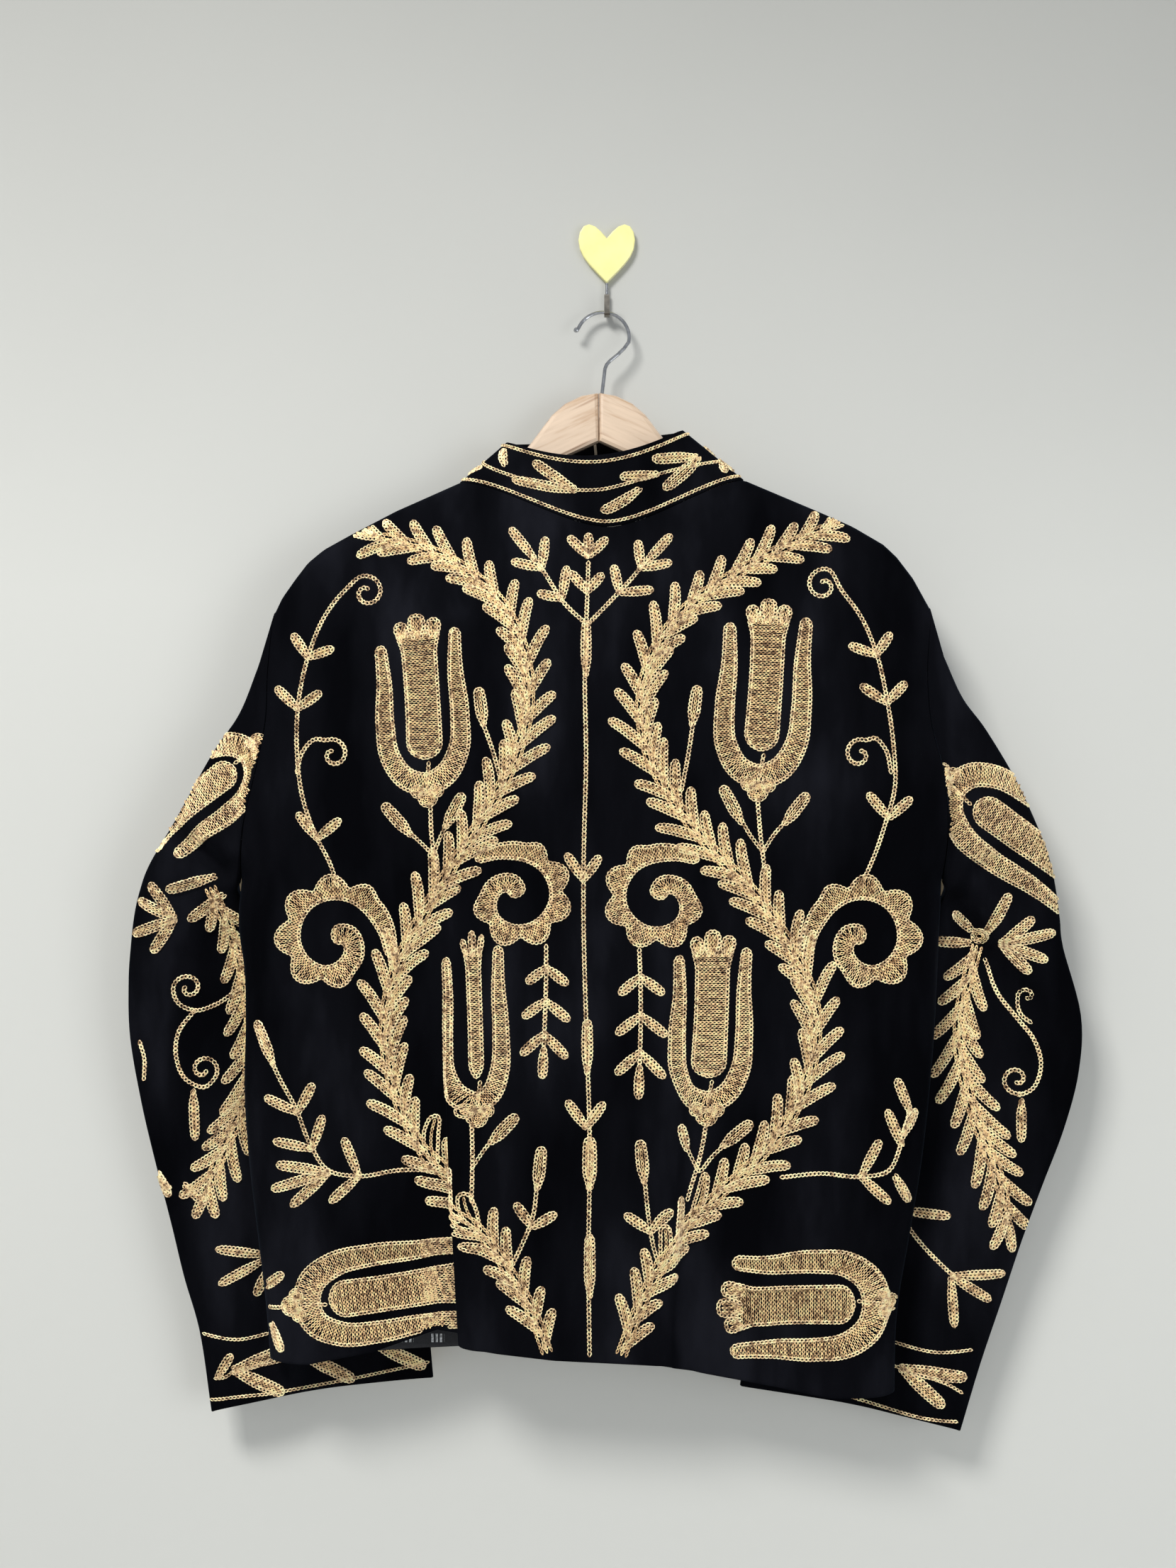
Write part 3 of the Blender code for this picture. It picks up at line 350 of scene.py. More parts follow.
def across(s, z):
    """x at station s: -1 to 0 is the left edge, 0 to 1 the flat, 1 to 2 the right edge."""
    left, right, flat = edge_share(s)
    low, high = side_lines(z)
    closed = smooth((UNDERARM_HEIGHT + SIDE_CLOSING / 2 - z) / SIDE_CLOSING)

    def edge(angle):
        return SIDE_ROUND * ((1 - closed) * angle / (math.pi / 2) + closed * (1 - np.cos(angle)))

    inner = (high - low) - 2 * SIDE_ROUND
    return low + edge(left) + inner * flat + SIDE_ROUND - edge(right)


def full_bulge(x, z, column):
    drop = np.maximum(shoulder_height(x) - z, 0.0)
    round_share = np.clip(drop / SHOULDER_ROUND, 0.0, 1.0)
    over_hanger = SHOULDER_ROUND * np.sqrt(1.0 - (1.0 - round_share) ** 2)
    grown = smooth((drop - SHOULDER_ROUND) / SHOULDER_SPREAD)
    return over_hanger * (1 - grown) + along_table(DEPTHS, z, column) * grown


def armhole_share(z):
    top = shoulder_height(side_lines(z)[0])
    place = (top - z) / (top - UNDERARM_HEIGHT)
    closing = np.clip((place - 1.0 + ARMHOLE_CLOSING) / ARMHOLE_CLOSING, 0.0, 1.0)
    return 1.0 - closing**2


def bulge(s, z, column):
    left, right, _ = edge_share(s)
    full = full_bulge(across(s, z), z, column)
    edge = full * armhole_share(z)
    return edge + (full - edge) * np.sin(left) * np.sin(right)


def crease_depth(x, z, creases):
    total = np.zeros_like(x)
    for x0, z0, x1, z1, width, depth in creases:
        run = np.array([x1 - x0, z1 - z0])
        length = math.hypot(*run)
        t = ((x - x0) * run[0] + (z - z0) * run[1]) / length**2
        side = ((x - x0) * run[1] - (z - z0) * run[0]) / length
        fading = 2 * CREASE_END
        ends = smooth((t + CREASE_END) / fading) * smooth((1 + CREASE_END - t) / fading)
        total += depth * ends * np.exp(-((side / width) ** 2))
    return total


def body_point(s, z, is_back):
    plane = along_table(DEPTHS, z, 1)
    depth = bulge(s, z, 2 if is_back else 3)
    x = across(s, z)
    left, right, _ = edge_share(s)
    soft = np.sin(left) * np.sin(right)
    creases = crease_depth(x, z, BACK_CREASES if is_back else FRONT_CREASES) * soft
    return np.stack([x, (plane - depth if is_back else plane + depth) + creases, z], -1)


def back_folds(point, s):
    strength = smooth((FOLD_START - point[..., 2]) / (FOLD_START - FOLD_FULL))
    moved = point.copy()
    lower = smooth((FOLD_START - point[..., 2]) / (FOLD_START - FOLD_HEM))
    for fold in BACK_FOLDS:
        t = np.clip((s - fold["place"] - fold["drift"] * lower) / fold["half"], -1.0, 1.0)
        moved[..., 0] -= fold["overlap"] * strength * np.sin(math.pi * t)
        moved[..., 1] -= fold["step"] * strength * smooth((t + 1) / 2)
    return moved


def neck_height(x, is_back):
    half = np.where(x < 0, -NECK_LEFT, NECK_RIGHT)
    share = np.clip(np.abs(x) / half, 0.0, 1.0) ** NECK_CURVE
    low = NECK_BACK_LOW if is_back else NECK_FRONT_LOW
    return low + (shoulder_height(x) - low) * share


def top_height(s, is_back):
    """Height of the shoulder or neckline at station s, found step by step."""
    z = np.full_like(np.asarray(s, float), TOP_START)
    for _ in range(TOP_STEPS):
        x = across(s, z)
        at_neck = (x > NECK_LEFT) & (x < NECK_RIGHT)
        target = np.where(at_neck, neck_height(x, is_back), shoulder_height(x))
        z = z + 0.5 * (target - z)
    return z


def hem_height(s, is_back):
    if is_back:
        share = np.clip(s, 0.0, 1.0)
        return np.interp(share, [row[0] for row in BACK_HEM], [row[1] for row in BACK_HEM])
    return FRONT_HEM - FRONT_HEM_CURVE * (1 - np.sin(np.clip(s, 0.0, 1.0) * math.pi))


def panel_point(s, v, is_back):
    """A point of the body: s across it, v from its top edge down to its hem."""
    top, hem = top_height(s, is_back), hem_height(s, is_back)
    over = SHOULDER_ROUND * (1 - np.cos(np.clip(v / SHOULDER_TURN, 0, 1) * math.pi / 2))
    upper = np.clip((v - SHOULDER_TURN) / (UNDERARM_ROW - SHOULDER_TURN), 0, 1)
    lower = np.clip((v - UNDERARM_ROW) / (1 - UNDERARM_ROW), 0, 1)
    to_underarm = (top - SHOULDER_ROUND) - UNDERARM_HEIGHT
    z = top - over - to_underarm * upper - (UNDERARM_HEIGHT - hem) * lower
    point = body_point(s, z, is_back)
    return back_folds(point, s) if is_back else point


def back_point(s, v):
    return panel_point(s, v, True)


def front_point(s, v):
    return panel_point(s, v, False)


def behind_body(x, z):
    """The plane behind the body that a sleeve keeps to."""
    low, high = side_lines(z)
    inside = np.minimum(x - low, high - x)
    share = np.clip(inside / SIDE_ROUND, 0.0, 1.0)
    turned = np.sqrt(1.0 - (1.0 - share) ** 2)
    full = full_bulge(x, z, 3)
    edge = full * armhole_share(z)
    front = along_table(DEPTHS, z, 1) + edge + (full - edge) * turned
    joined = 1.0 - smooth((UNDERARM_HEIGHT + SLEEVE_JOIN_RISE - z) / SLEEVE_JOIN_SPAN)
    free = np.minimum(inside, 0.0) * SLEEVE_FALL - joined * SLEEVE_JOINED
    return front + SLEEVE_CLEARANCE + free


def soft_maximum(a, b, softness):
    return (a + b + np.sqrt((a - b) ** 2 + softness**2)) / 2


def sleeve_columns(rows, at):
    table = [(i + 1, *row) for i, row in enumerate(rows)]
    return [along_table(table, at, i) for i in range(1, 8)]


def sleeve_point(angle, w, rows, s_edge, creases):
    """A point of a sleeve: angle goes round a section, w runs from armhole to cuff."""
    inward = (1 - np.cos(angle)) / 2
    facing = np.sin(angle)
    rise = CUFF_RISE * np.clip(facing, 0.0, 1.0) * smooth((w - CUFF_RISE_FROM) / (1 - CUFF_RISE_FROM))
    place = (w - rise) * len(rows)

    arm_top = float(top_height(np.array([float(s_edge)]), True)[0])
    arm_z = arm_top + (UNDERARM_HEIGHT - arm_top) * inward
    plane = along_table(DEPTHS, arm_z, 1)
    edge_s = np.full_like(arm_z, float(s_edge))
    back_edge = plane - bulge(edge_s, arm_z, 2)
    front_edge = plane + bulge(edge_s, arm_z, 3)
    arm_x = across(edge_s, arm_z) + math.copysign(ARMHOLE_GAP, s_edge)
    armhole = np.stack([arm_x, np.where(facing >= 0, back_edge, front_edge), arm_z], -1)

    outer_x, outer_z, inner_x, inner_z, outer_plane, inner_plane, half = sleeve_columns(
        rows, np.maximum(place, 1.0)
    )
    x = outer_x + (inner_x - outer_x) * inward
    z = outer_z + (inner_z - outer_z) * inward
    shift = (inward - SLEEVE_SHIFT_FROM) / (SLEEVE_SHIFT_TO - SLEEVE_SHIFT_FROM)
    middle = outer_plane + (inner_plane - outer_plane) * smooth(shift)
    y = middle - half * np.sign(facing) * np.abs(facing) ** SLEEVE_FLATNESS
    shown = np.clip(facing, 0.0, 1.0) ** SLEEVE_CREASE_POWER
    hidden = SLEEVE_BACK_CREASE_DEPTH * np.clip(-facing, 0.0, 1.0) ** SLEEVE_CREASE_POWER
    y = y + crease_depth(x, z, creases) * (shown - hidden)
    towards_wall = np.clip(-facing, 0.0, 1.0) ** SLEEVE_FLATNESS
    y = soft_maximum(y, behind_body(x, z) + SLEEVE_LEAST_DEPTH * towards_wall, SLEEVE_SOFTNESS)
    arm = np.stack([x, y, z], -1)

    keep = smooth(1.0 - place / SLEEVE_BLEND_ROWS)
    lead = np.clip(1.0 - place, 0.0, 1.0)[..., None]
    shape = arm.copy()
    shape[..., 1] = arm[..., 1] * (1 - keep) + armhole[..., 1] * keep
    return armhole * lead + shape * (1 - lead)


def sleeve_normal(angle, w, rows):
    """Outward direction of a sleeve, square to its run."""
    at = np.maximum(w * len(rows), 1.0)
    here, before, after = (sleeve_columns(rows, at + step) for step in (0.0, -0.1, 0.1))
    chord = np.stack([here[2] - here[0], here[3] - here[1]], -1)
    sideways = []
    for i, away in ((0, -1), (2, 1)):
        across_run = np.stack([after[i + 1] - before[i + 1], before[i] - after[i]], -1)
        across_run = unit(across_run)
        sideways.append(across_run * np.sign(np.sum(across_run * chord, -1, keepdims=True) * away))
    at_inner = ((np.cos(angle) < 0) * 1.0)[..., None]
    end = sideways[0] * (1 - at_inner) + sideways[1] * at_inner
    lengthways = np.abs(np.cos(angle)) ** 3
    deep = np.sign(np.sin(angle)) * np.sqrt(np.abs(np.sin(angle)))
    return unit(np.stack([end[..., 0] * lengthways, -deep, end[..., 1] * lengthways], -1))


def collar_point(c, h):
    """c goes round from the left front end at -1, over the back at 0; h runs up."""
    turn = math.pi * c
    middle = (NECK_LEFT + NECK_RIGHT) / 2
    x = middle + (NECK_RIGHT - NECK_LEFT) / 2 * np.sin(turn)
    base = []
    for is_back in (True, False):
        z = neck_height(x, is_back)
        plane = along_table(DEPTHS, z, 1)
        depth = full_bulge(x, z, 2 if is_back else 3)
        base.append(np.stack([x, plane - depth if is_back else plane + depth, z], -1))
    low = np.where((np.abs(c) <= 0.5)[..., None], base[0], base[1])
    side = np.sin(np.clip(np.abs(turn), 0, math.pi / 2)) ** 2
    reach = np.where(np.cos(turn) > 0, COLLAR_TOP_BACK_REACH, COLLAR_TOP_FRONT_REACH)
    high = np.stack(
        [
            COLLAR_TOP_MIDDLE + COLLAR_TOP_HALF_WIDTH * np.sin(turn),
            COLLAR_TOP_PLANE - reach * np.cos(turn),
            COLLAR_TOP_BACK + COLLAR_TOP_RISE * side + COLLAR_TOP_TILT * np.sin(turn),
        ],
        -1,
    )
    return low + (high - low) * h[..., None]


def outward(point_at, u, v):
    """Direction square to a surface that is given point by point."""
    step = 1e-3
    du = point_at(u + step, v) - point_at(u - step, v)
    dv = point_at(u, v + step) - point_at(u, v - step)
    normal = np.cross(du, dv)
    return normal / np.maximum(np.linalg.norm(normal, axis=-1, keepdims=True), 1e-12)


def drawn_in(points, gap, wrap):
    """The grid with each open edge drawn in by half a gap."""
    points = points.copy()
    pairs = [((slice(None), 0), (slice(None), 1)), ((slice(None), -1), (slice(None), -2))]
    if not wrap:
        pairs += [((0, slice(None)), (1, slice(None))), ((-1, slice(None)), (-2, slice(None)))]
    for edge, inner in pairs:
        points[edge] += unit(points[inner] - points[edge]) * (gap / 2)
    return points


def mesh_of(name, vertices, quads, indices, finishes):
    """A mesh object from arrays of corners, four-sided faces and the finish of each."""
    mesh = bpy.data.meshes.new(name)
    mesh.vertices.add(len(vertices))
    mesh.vertices.foreach_set("co", np.asarray(vertices, np.float32).ravel())
    mesh.loops.add(len(quads) * 4)
    mesh.loops.foreach_set("vertex_index", np.asarray(quads, np.int32).ravel())
    mesh.polygons.add(len(quads))
    mesh.polygons.foreach_set("loop_start", np.arange(0, len(quads) * 4, 4, dtype=np.int32))
    mesh.polygons.foreach_set("material_index", np.asarray(indices, np.int32))
    mesh.update(calc_edges=True)
    mesh.validate()
    mesh.shade_smooth()
    for finish in finishes:
        mesh.materials.append(finish)
    piece = bpy.data.objects.new(name, mesh)
    bpy.context.scene.collection.objects.link(piece)
    return piece


def next_round(lines):
    return np.roll(lines, -1, axis=1)


def shell(name, outer, inner, finishes, wrap=False):
    """A closed wall of cloth between two grids, with rounded rims."""
    columns, rows = outer.shape[:2]
    rims = []
    for edge, next_row in ((0, 1), (-1, -2)):
        middle = (outer[:, edge] + inner[:, edge]) / 2
        away = unit(middle - (outer[:, next_row] + inner[:, next_row]) / 2)
        thick = np.linalg.norm(outer[:, edge] - inner[:, edge], axis=-1, keepdims=True)
        rims.append(middle + away * thick * RIM_ROUND)
    grid = np.concatenate(
        [outer, rims[1][:, None], inner[:, ::-1], rims[0][:, None]], axis=1
    )
    around = grid.shape[1]
    index = np.arange(columns * around).reshape(columns, around)
    if wrap:
        index = np.concatenate([index, index[:1]])
    a, b = index[:-1], index[1:]
    quads = np.stack([a, b, next_round(b), next_round(a)], -1).reshape(-1, 4)
    finish_row = np.zeros(around, int)
    finish_row[rows + 1:2 * rows] = 1
    finish = np.tile(finish_row, a.shape[0])
    if not wrap:
        ends = []
        for line, flip in ((index[0], False), (index[-1], True)):
            front = line[:rows]
            back = line[rows + 1:2 * rows + 1][::-1]
            strip = np.stack([front[:-1], front[1:], back[1:], back[:-1]], -1)
            ends.append(strip[:, ::-1] if flip else strip)
        quads = np.concatenate([quads, *ends])
        finish = np.concatenate([finish, np.zeros(len(quads) - len(finish), int)])
        corners = []
        for line, flip in ((index[0], False), (index[-1], True)):
            for mid, o, n in ((rows, rows - 1, rows + 1), (around - 1, 0, around - 2)):
                corners.append((line[mid], line[o], line[n]))
    piece = mesh_of(name, grid.reshape(-1, 3), quads, finish, finishes)
    made = bmesh.new()
    made.from_mesh(piece.data)
    if not wrap:
        made.verts.ensure_lookup_table()
        for triangle in corners:
            made.faces.new([made.verts[int(i)] for i in triangle])
    bmesh.ops.recalc_face_normals(made, faces=made.faces)
    if made.calc_volume(signed=True) < 0:
        bmesh.ops.reverse_faces(made, faces=made.faces)
    for face in made.faces:
        face.smooth = True
    made.to_mesh(piece.data)
    made.free()
    piece.data.set_sharp_from_angle(angle=SHARP_ANGLE)
    return piece


def spaced(*spans):
    """Places from span to span: each has a start, an end and a number of steps."""
    parts = [np.linspace(start, end, steps + 1)[:-1] for start, end, steps in spans]
    return np.concatenate([*parts, [spans[-1][1]]])


# Embroidery: every row is a line in millimetres, its width, its finish and how far it is lifted
OUTLINE, FILL = 0, 1


def arc_length(line):
    return np.concatenate([[0.0], np.cumsum(np.linalg.norm(np.diff(line, axis=0), axis=1))])


def line_through(points, step=1.5):
    points = np.array(points, float)
    reach = arc_length(points)
    at = np.linspace(0.0, reach[-1], max(3, int(reach[-1] / step) + 1))
    return through_points(reach, points, at)


def beside(line, distance):
    """The line moved to its left by a distance, which may change along it."""
    run = unit(np.gradient(line, axis=0))
    side = np.stack([-run[:, 1], run[:, 0]], 1)
    return line + side * np.reshape(distance, (-1, 1))


def rounded_end(t, start, span):
    """1 along a motif, falling in a quarter round to 0 over a span of t."""
    return np.sqrt(1.0 - np.clip((t - start) / span, 0.0, 1.0) ** 2)


def angle_of(run):
    return math.degrees(math.atan2(run[1], run[0]))


def place_on(line, share):
    """The point at a share of a line's length, and the angle of the line there."""
    reach = arc_length(line)
    i = int(np.clip(np.searchsorted(reach, share * reach[-1]), 1, len(line) - 2))
    return line[i], angle_of(line[i + 1] - line[i - 1])


def heading(angle):
    return np.array([math.cos(math.radians(angle)), math.sin(math.radians(angle))])


def stem(points, width=STEM_WIDTH, lift=0.0):
    return [(line_through(points), width, OUTLINE, lift)]


def rungs(left, right, lift):
    """Short rows across, from one side line to the other."""
    middle = (left + right) / 2
    reach = arc_length(middle)
    rows = []
    for k, at in enumerate(np.arange(RUNG * 0.6, reach[-1], RUNG)):
        ends = []
        slant = UNEVEN * math.sin(1.7 * k)
        for line, way in ((left, slant), (right, -slant)):
            ends.append(np.array([np.interp(at + way, reach, line[:, i]) for i in (0, 1)]))
        span = np.linalg.norm(ends[1] - ends[0])
        if span > LINK_WIDTH * 0.8:
            tuck = (ends[1] - ends[0]) / span * LINK_WIDTH * 0.3
            high = lift + UNEVEN * math.sin(2.4 * k)
            rows.append((np.array([ends[0] + tuck, ends[1] - tuck]), FILL_WIDTH, FILL, high))
    return rows


def shape(line, left_half, right_half, fill, lift=0.0):
    """An outlined shape along a line, filled by rows across it or along it."""
    inset = LINK_WIDTH * 0.45
    left_half = np.maximum(left_half - inset, 0.25)
    right_half = np.maximum(right_half - inset, 0.25)
    left, right = beside(line, left_half), beside(line, -right_half)
    rows = []
    if fill == "across":
        rows += rungs(left, right, lift)
    else:
        count = int(round((left_half + right_half).max() / ROW)) - 1
        for k in range(count):
            share = (k + 1) / (count + 1)
            inner = left * (1 - share) + right * share
            rows.append((inner[1:-2], FILL_WIDTH, FILL, lift + UNEVEN * math.sin(2.4 * k + 1.0)))
    rows.append((np.concatenate([left, right[::-1]]), LINK_WIDTH, OUTLINE, lift + 0.15))
    return rows


def leaf(base, angle, length, width=8.6, bend=0.0, lift=0.0):
    """A blunt leaf: two outline rows that meet round its tip, with a row between."""
    t = np.linspace(0.0, 1.0, max(5, int(length / 1.6)))
    turn = np.radians(angle + bend * (t - 0.3))
    run = np.stack([np.cos(turn), np.sin(turn)], 1) * length / (len(t) - 1)
    line = np.array(base) + np.concatenate([[[0.0, 0.0]], np.cumsum(run[:-1], axis=0)])
    tip = rounded_end(t, 0.90, 0.10)
    half = width / 2 * (0.62 + 0.38 * smooth(t / 0.45) - 0.10 * smooth((t - 0.6) / 0.4)) * tip
    return shape(line, half, half, "along", lift)


def bud(base, angle, length, width=10.5):
    t = np.linspace(0.0, 1.0, max(6, int(length / 1.6)))
    line = np.array(base) + np.outer(t * length, heading(angle))
    blunt = rounded_end(t, 0.93, 0.07)
    half = width / 2 * (0.48 + 0.52 * smooth(t / 0.36) - 0.12 * smooth((t - 0.6) / 0.4)) * blunt
    return shape(line, half, half, "along")


def pair(base, angle, spread, length, width=8.6):
    """Two leaves from one point, either side of a heading."""
    rows = leaf(base, angle + spread, length, width)
    return rows + leaf(base, angle - spread, length * 0.92, width)


def sprig(points, pairs, end=0.0):
    """A stem with pairs of leaves: place along it, spread and length of each."""
    line = line_through(points)
    rows = stem(points)
    for share, spread, length in pairs:
        point, angle = place_on(line, share)
        rows += pair(point, angle, spread, length)
    if end:
        run = line[-1] - line[-2]
        rows += leaf(line[-1] - run, angle_of(run), end)
    return rows


FERN_MIDDLE = 4.0  # from one middle row of a fern to the next


def fern(points, length, spacing=11.0, spread=43.0, width=9.3):
    """A branch of blunt leaves to both sides, growing from its first point to its last."""
    line = line_through(points)
    count = int(arc_length(line)[-1] / spacing)
    rows = []
    for offset in (-FERN_MIDDLE, 0.0, FERN_MIDDLE):
        rows.append((beside(line, offset)[2:-2], FILL_WIDTH, FILL, 0.5))
    for k in range(count):
        at = (k + 0.5) / count
        point, angle = place_on(line, at)
        side = 1 if k % 2 else -1
        taper = 0.82 + 0.18 * math.sin(math.pi * at) + 0.10 * math.sin(k * 2.4)
        lift = 0.30 * (k % 3)
        lean = side * (spread + 5.0 * math.sin(k * 1.7))
        rows += leaf(point, angle + lean * 0.60, length * taper, width, lean * 0.55, lift)
    rows += leaf(line[-2], angle_of(line[-1] - line[-3]), length * 0.72, width)
    return rows


def knob(centre, radius):
    """A small round patch of coiled rows."""
    rows = []
    for ring in np.arange(radius - LINK_WIDTH * 0.45, 0.8, -ROW * 0.85):
        turn = np.linspace(0.0, 2 * math.pi, max(6, int(ring * 2.5)))
        line = np.array(centre) + ring * np.stack([np.cos(turn), np.sin(turn)], 1)
        rows.append((line, FILL_WIDTH, OUTLINE if not rows else FILL, 0.3))
    return rows


def cut_at(rows, x):
    """Rows without what lies to the right of x, where the cloth is folded away."""
    kept = []
    for line, width, finish, lift in rows:
        inside = line[:, 0] < x
        if inside.sum() > 1:
            kept.append((line[inside], width, finish, lift))
    return kept


# Crown of a tulip: place across the core, lean, length, width as a share of the core
CROWN_LEAVES = ((-0.36, 12, 14.0, 0.38), (-0.01, 0, 20.0, 0.46), (0.36, -10, 16.0, 0.40))
CROWN_TUCK = 8.0


def tulip(height=126.0, half_width=38.0, core=29.0, petal=17.0, lower=0.94):
    """A tulip standing on its base at 0, 0: a U of two petals round a core with a crown."""
    outer = half_width - petal / 2
    half_line = (
        (0.0, 0.115 * height),
        (0.50 * outer, 0.150 * height),
        (0.88 * outer, 0.27 * height),
        (0.99 * outer, 0.48 * height),
        (0.95 * outer, 0.72 * height),
        (1.01 * outer, 0.95 * height),
    )
    points = [(-x, z * lower) for x, z in reversed(half_line)] + list(half_line[1:])
    line = line_through(points)
    t = np.linspace(0.0, 1.0, len(line))
    ends = rounded_end(np.abs(2 * t - 1), 0.97, 0.03)
    swell = 0.62 + 0.28 * smooth(np.minimum(t, 1 - t) / 0.24) + 0.25 * np.sin(math.pi * t) ** 6
    half = petal / 2 * swell * ends
    rows = shape(line, half * 0.86, half * 1.14, "across")
    rows += knob((0.0, 0.022 * height), 0.060 * height)
    rows += knob((-0.052 * height, 0.058 * height), 0.045 * height)
    rows += knob((0.052 * height, 0.058 * height), 0.045 * height)
    rows += stem([(0.0, 0.09 * height), (0.02 * height, 0.22 * height)], LINK_WIDTH)

    t = np.linspace(0.0, 1.0, 50)
    line = np.stack([0.03 * core * np.sin(3 * t), (0.240 + 0.700 * t) * height], 1)
    foot = np.sqrt(1.0 - (1.0 - np.clip(t / 0.12, 0.0, 1.0)) ** 2)
    waist = 0.93 - 0.04 * np.sin(math.pi * t) + 0.20 * smooth((t - 0.84) / 0.16)
    half = core / 2 * foot * waist
    rows += shape(line, half, half, "across")
    for share, lean, length, width in CROWN_LEAVES:
        base = (share * core, 0.960 * height - CROWN_TUCK)
        rows += leaf(base, 90 + lean, length, core * width, 0.0, 0.5)
    return rows


# Middle line of a rolled leaf, from its stem to the inside of the roll
CURL_LINE = (
    (52.0, -20.0), (47.0, 2.0), (36.0, 20.0), (19.0, 32.0), (-1.0, 34.0), (-19.0, 26.0),
    (-30.0, 9.0), (-31.0, -11.0), (-21.0, -28.0), (-3.0, -36.0), (13.0, -30.0),
    (21.0, -16.0), (16.0, -3.0), (3.0, -3.0),
)


def curl(band=18.0, scallops=6):
    """A rolled leaf with a scalloped outer edge."""
    line = line_through(CURL_LINE)
    t = np.linspace(0.0, 1.0, len(line))
    ends = rounded_end(np.abs(2 * t - 1), 0.965, 0.035)
    swell = (0.66 + 0.34 * smooth(t / 0.16)) * ends
    shown = smooth((t - 0.16) / 0.08) * smooth((0.86 - t) / 0.08)
    lobes = shown * (1.25 * np.abs(np.sin(math.pi * scallops * (t - 0.16) / 0.70)) ** 1.1 - 0.72)
    inner = band / 2 * swell
    return shape(line, inner * 0.92, inner * (1.0 + lobes), "across")


def spiral(centre, radius, start, turns, clockwise=False):
    """Points of a tendril's end, rolling in from a start angle."""
    t = np.linspace(0.0, 1.0, int(10 * turns) + 4)
    turn = np.radians(start) + (-1 if clockwise else 1) * t * turns * 2 * math.pi
    reach = radius * (1.0 - 0.80 * t)
    around = np.stack([np.cos(turn), np.sin(turn)], 1)
    return [tuple(point) for point in np.array(centre) + reach[:, None] * around]


def placed(rows, at, turn=0.0, size=1.0, mirror=False):
    """Rows turned by an angle, sized and moved to their place; mirror swaps left and right."""
    c, s = math.cos(math.radians(turn)), math.sin(math.radians(turn))
    moved = []
    for line, width, finish, lift in rows:
        line = line * (-size if mirror else size, size)
        line = np.stack([line[:, 0] * c - line[:, 1] * s, line[:, 0] * s + line[:, 1] * c], 1)
        moved.append((line + np.array(at), width, finish, lift))
    return moved


# One link of a chain row: two strands that part and meet. Along, across, height
OUTLINE_STRAND = ((-0.40, 0.10, 0.25), (0.24, 0.72, 0.85), (0.62, 0.72, 1.00), (1.10, 0.08, 1.15))
FILL_STRAND = ((-0.34, 0.10, 0.20), (0.42, 0.74, 0.95), (1.10, 0.10, 1.15))
STRAND_HALF = 0.30  # of the link's half width
STRAND_FOOT = -0.15


def link_template(strand):
    vertices, quads = [], []
    for side in (1, -1):
        first = len(vertices)
        for along, out, high in strand:
            for step, top in ((STRAND_HALF, STRAND_FOOT), (0.0, high), (-STRAND_HALF, STRAND_FOOT)):
                vertices.append((along, side * (out + step), top))
        for i in range(len(strand) - 1):
            for j in (0, 1):
                a = first + 3 * i + j
                quad = (a, a + 3, a + 4, a + 1)
                quads.append(quad if side > 0 else quad[::-1])
    return np.array(vertices), np.array(quads)


def at_spacing(line, reach, spacing):
    """Places along a line, a spacing apart by the given lengths along it."""
    count = max(1, int(round(reach[-1] / spacing)))
    at = np.linspace(0.0, reach[-1], count + 1)
    return np.stack([np.interp(at, reach, line[:, i]) for i in (0, 1)], 1)


def evenly_over(lines, surface):
    """Each line again, with its places one link apart over the cloth."""
    lines = [at_spacing(line, arc_length(line), LINK / 2) for line in lines]
    flat = np.concatenate(lines)
    points, _, _ = surface(flat[:, 0] * MM, flat[:, 1] * MM)
    met = np.abs(points).sum(axis=1) > 0.0
    even, first = [], 0
    for line in lines:
        span = slice(first, first + len(line))
        reach = arc_length(points[span]) / MM if met[span].all() else arc_length(line)
        even.append(at_spacing(line, reach, LINK))
        first += len(line)
    return even


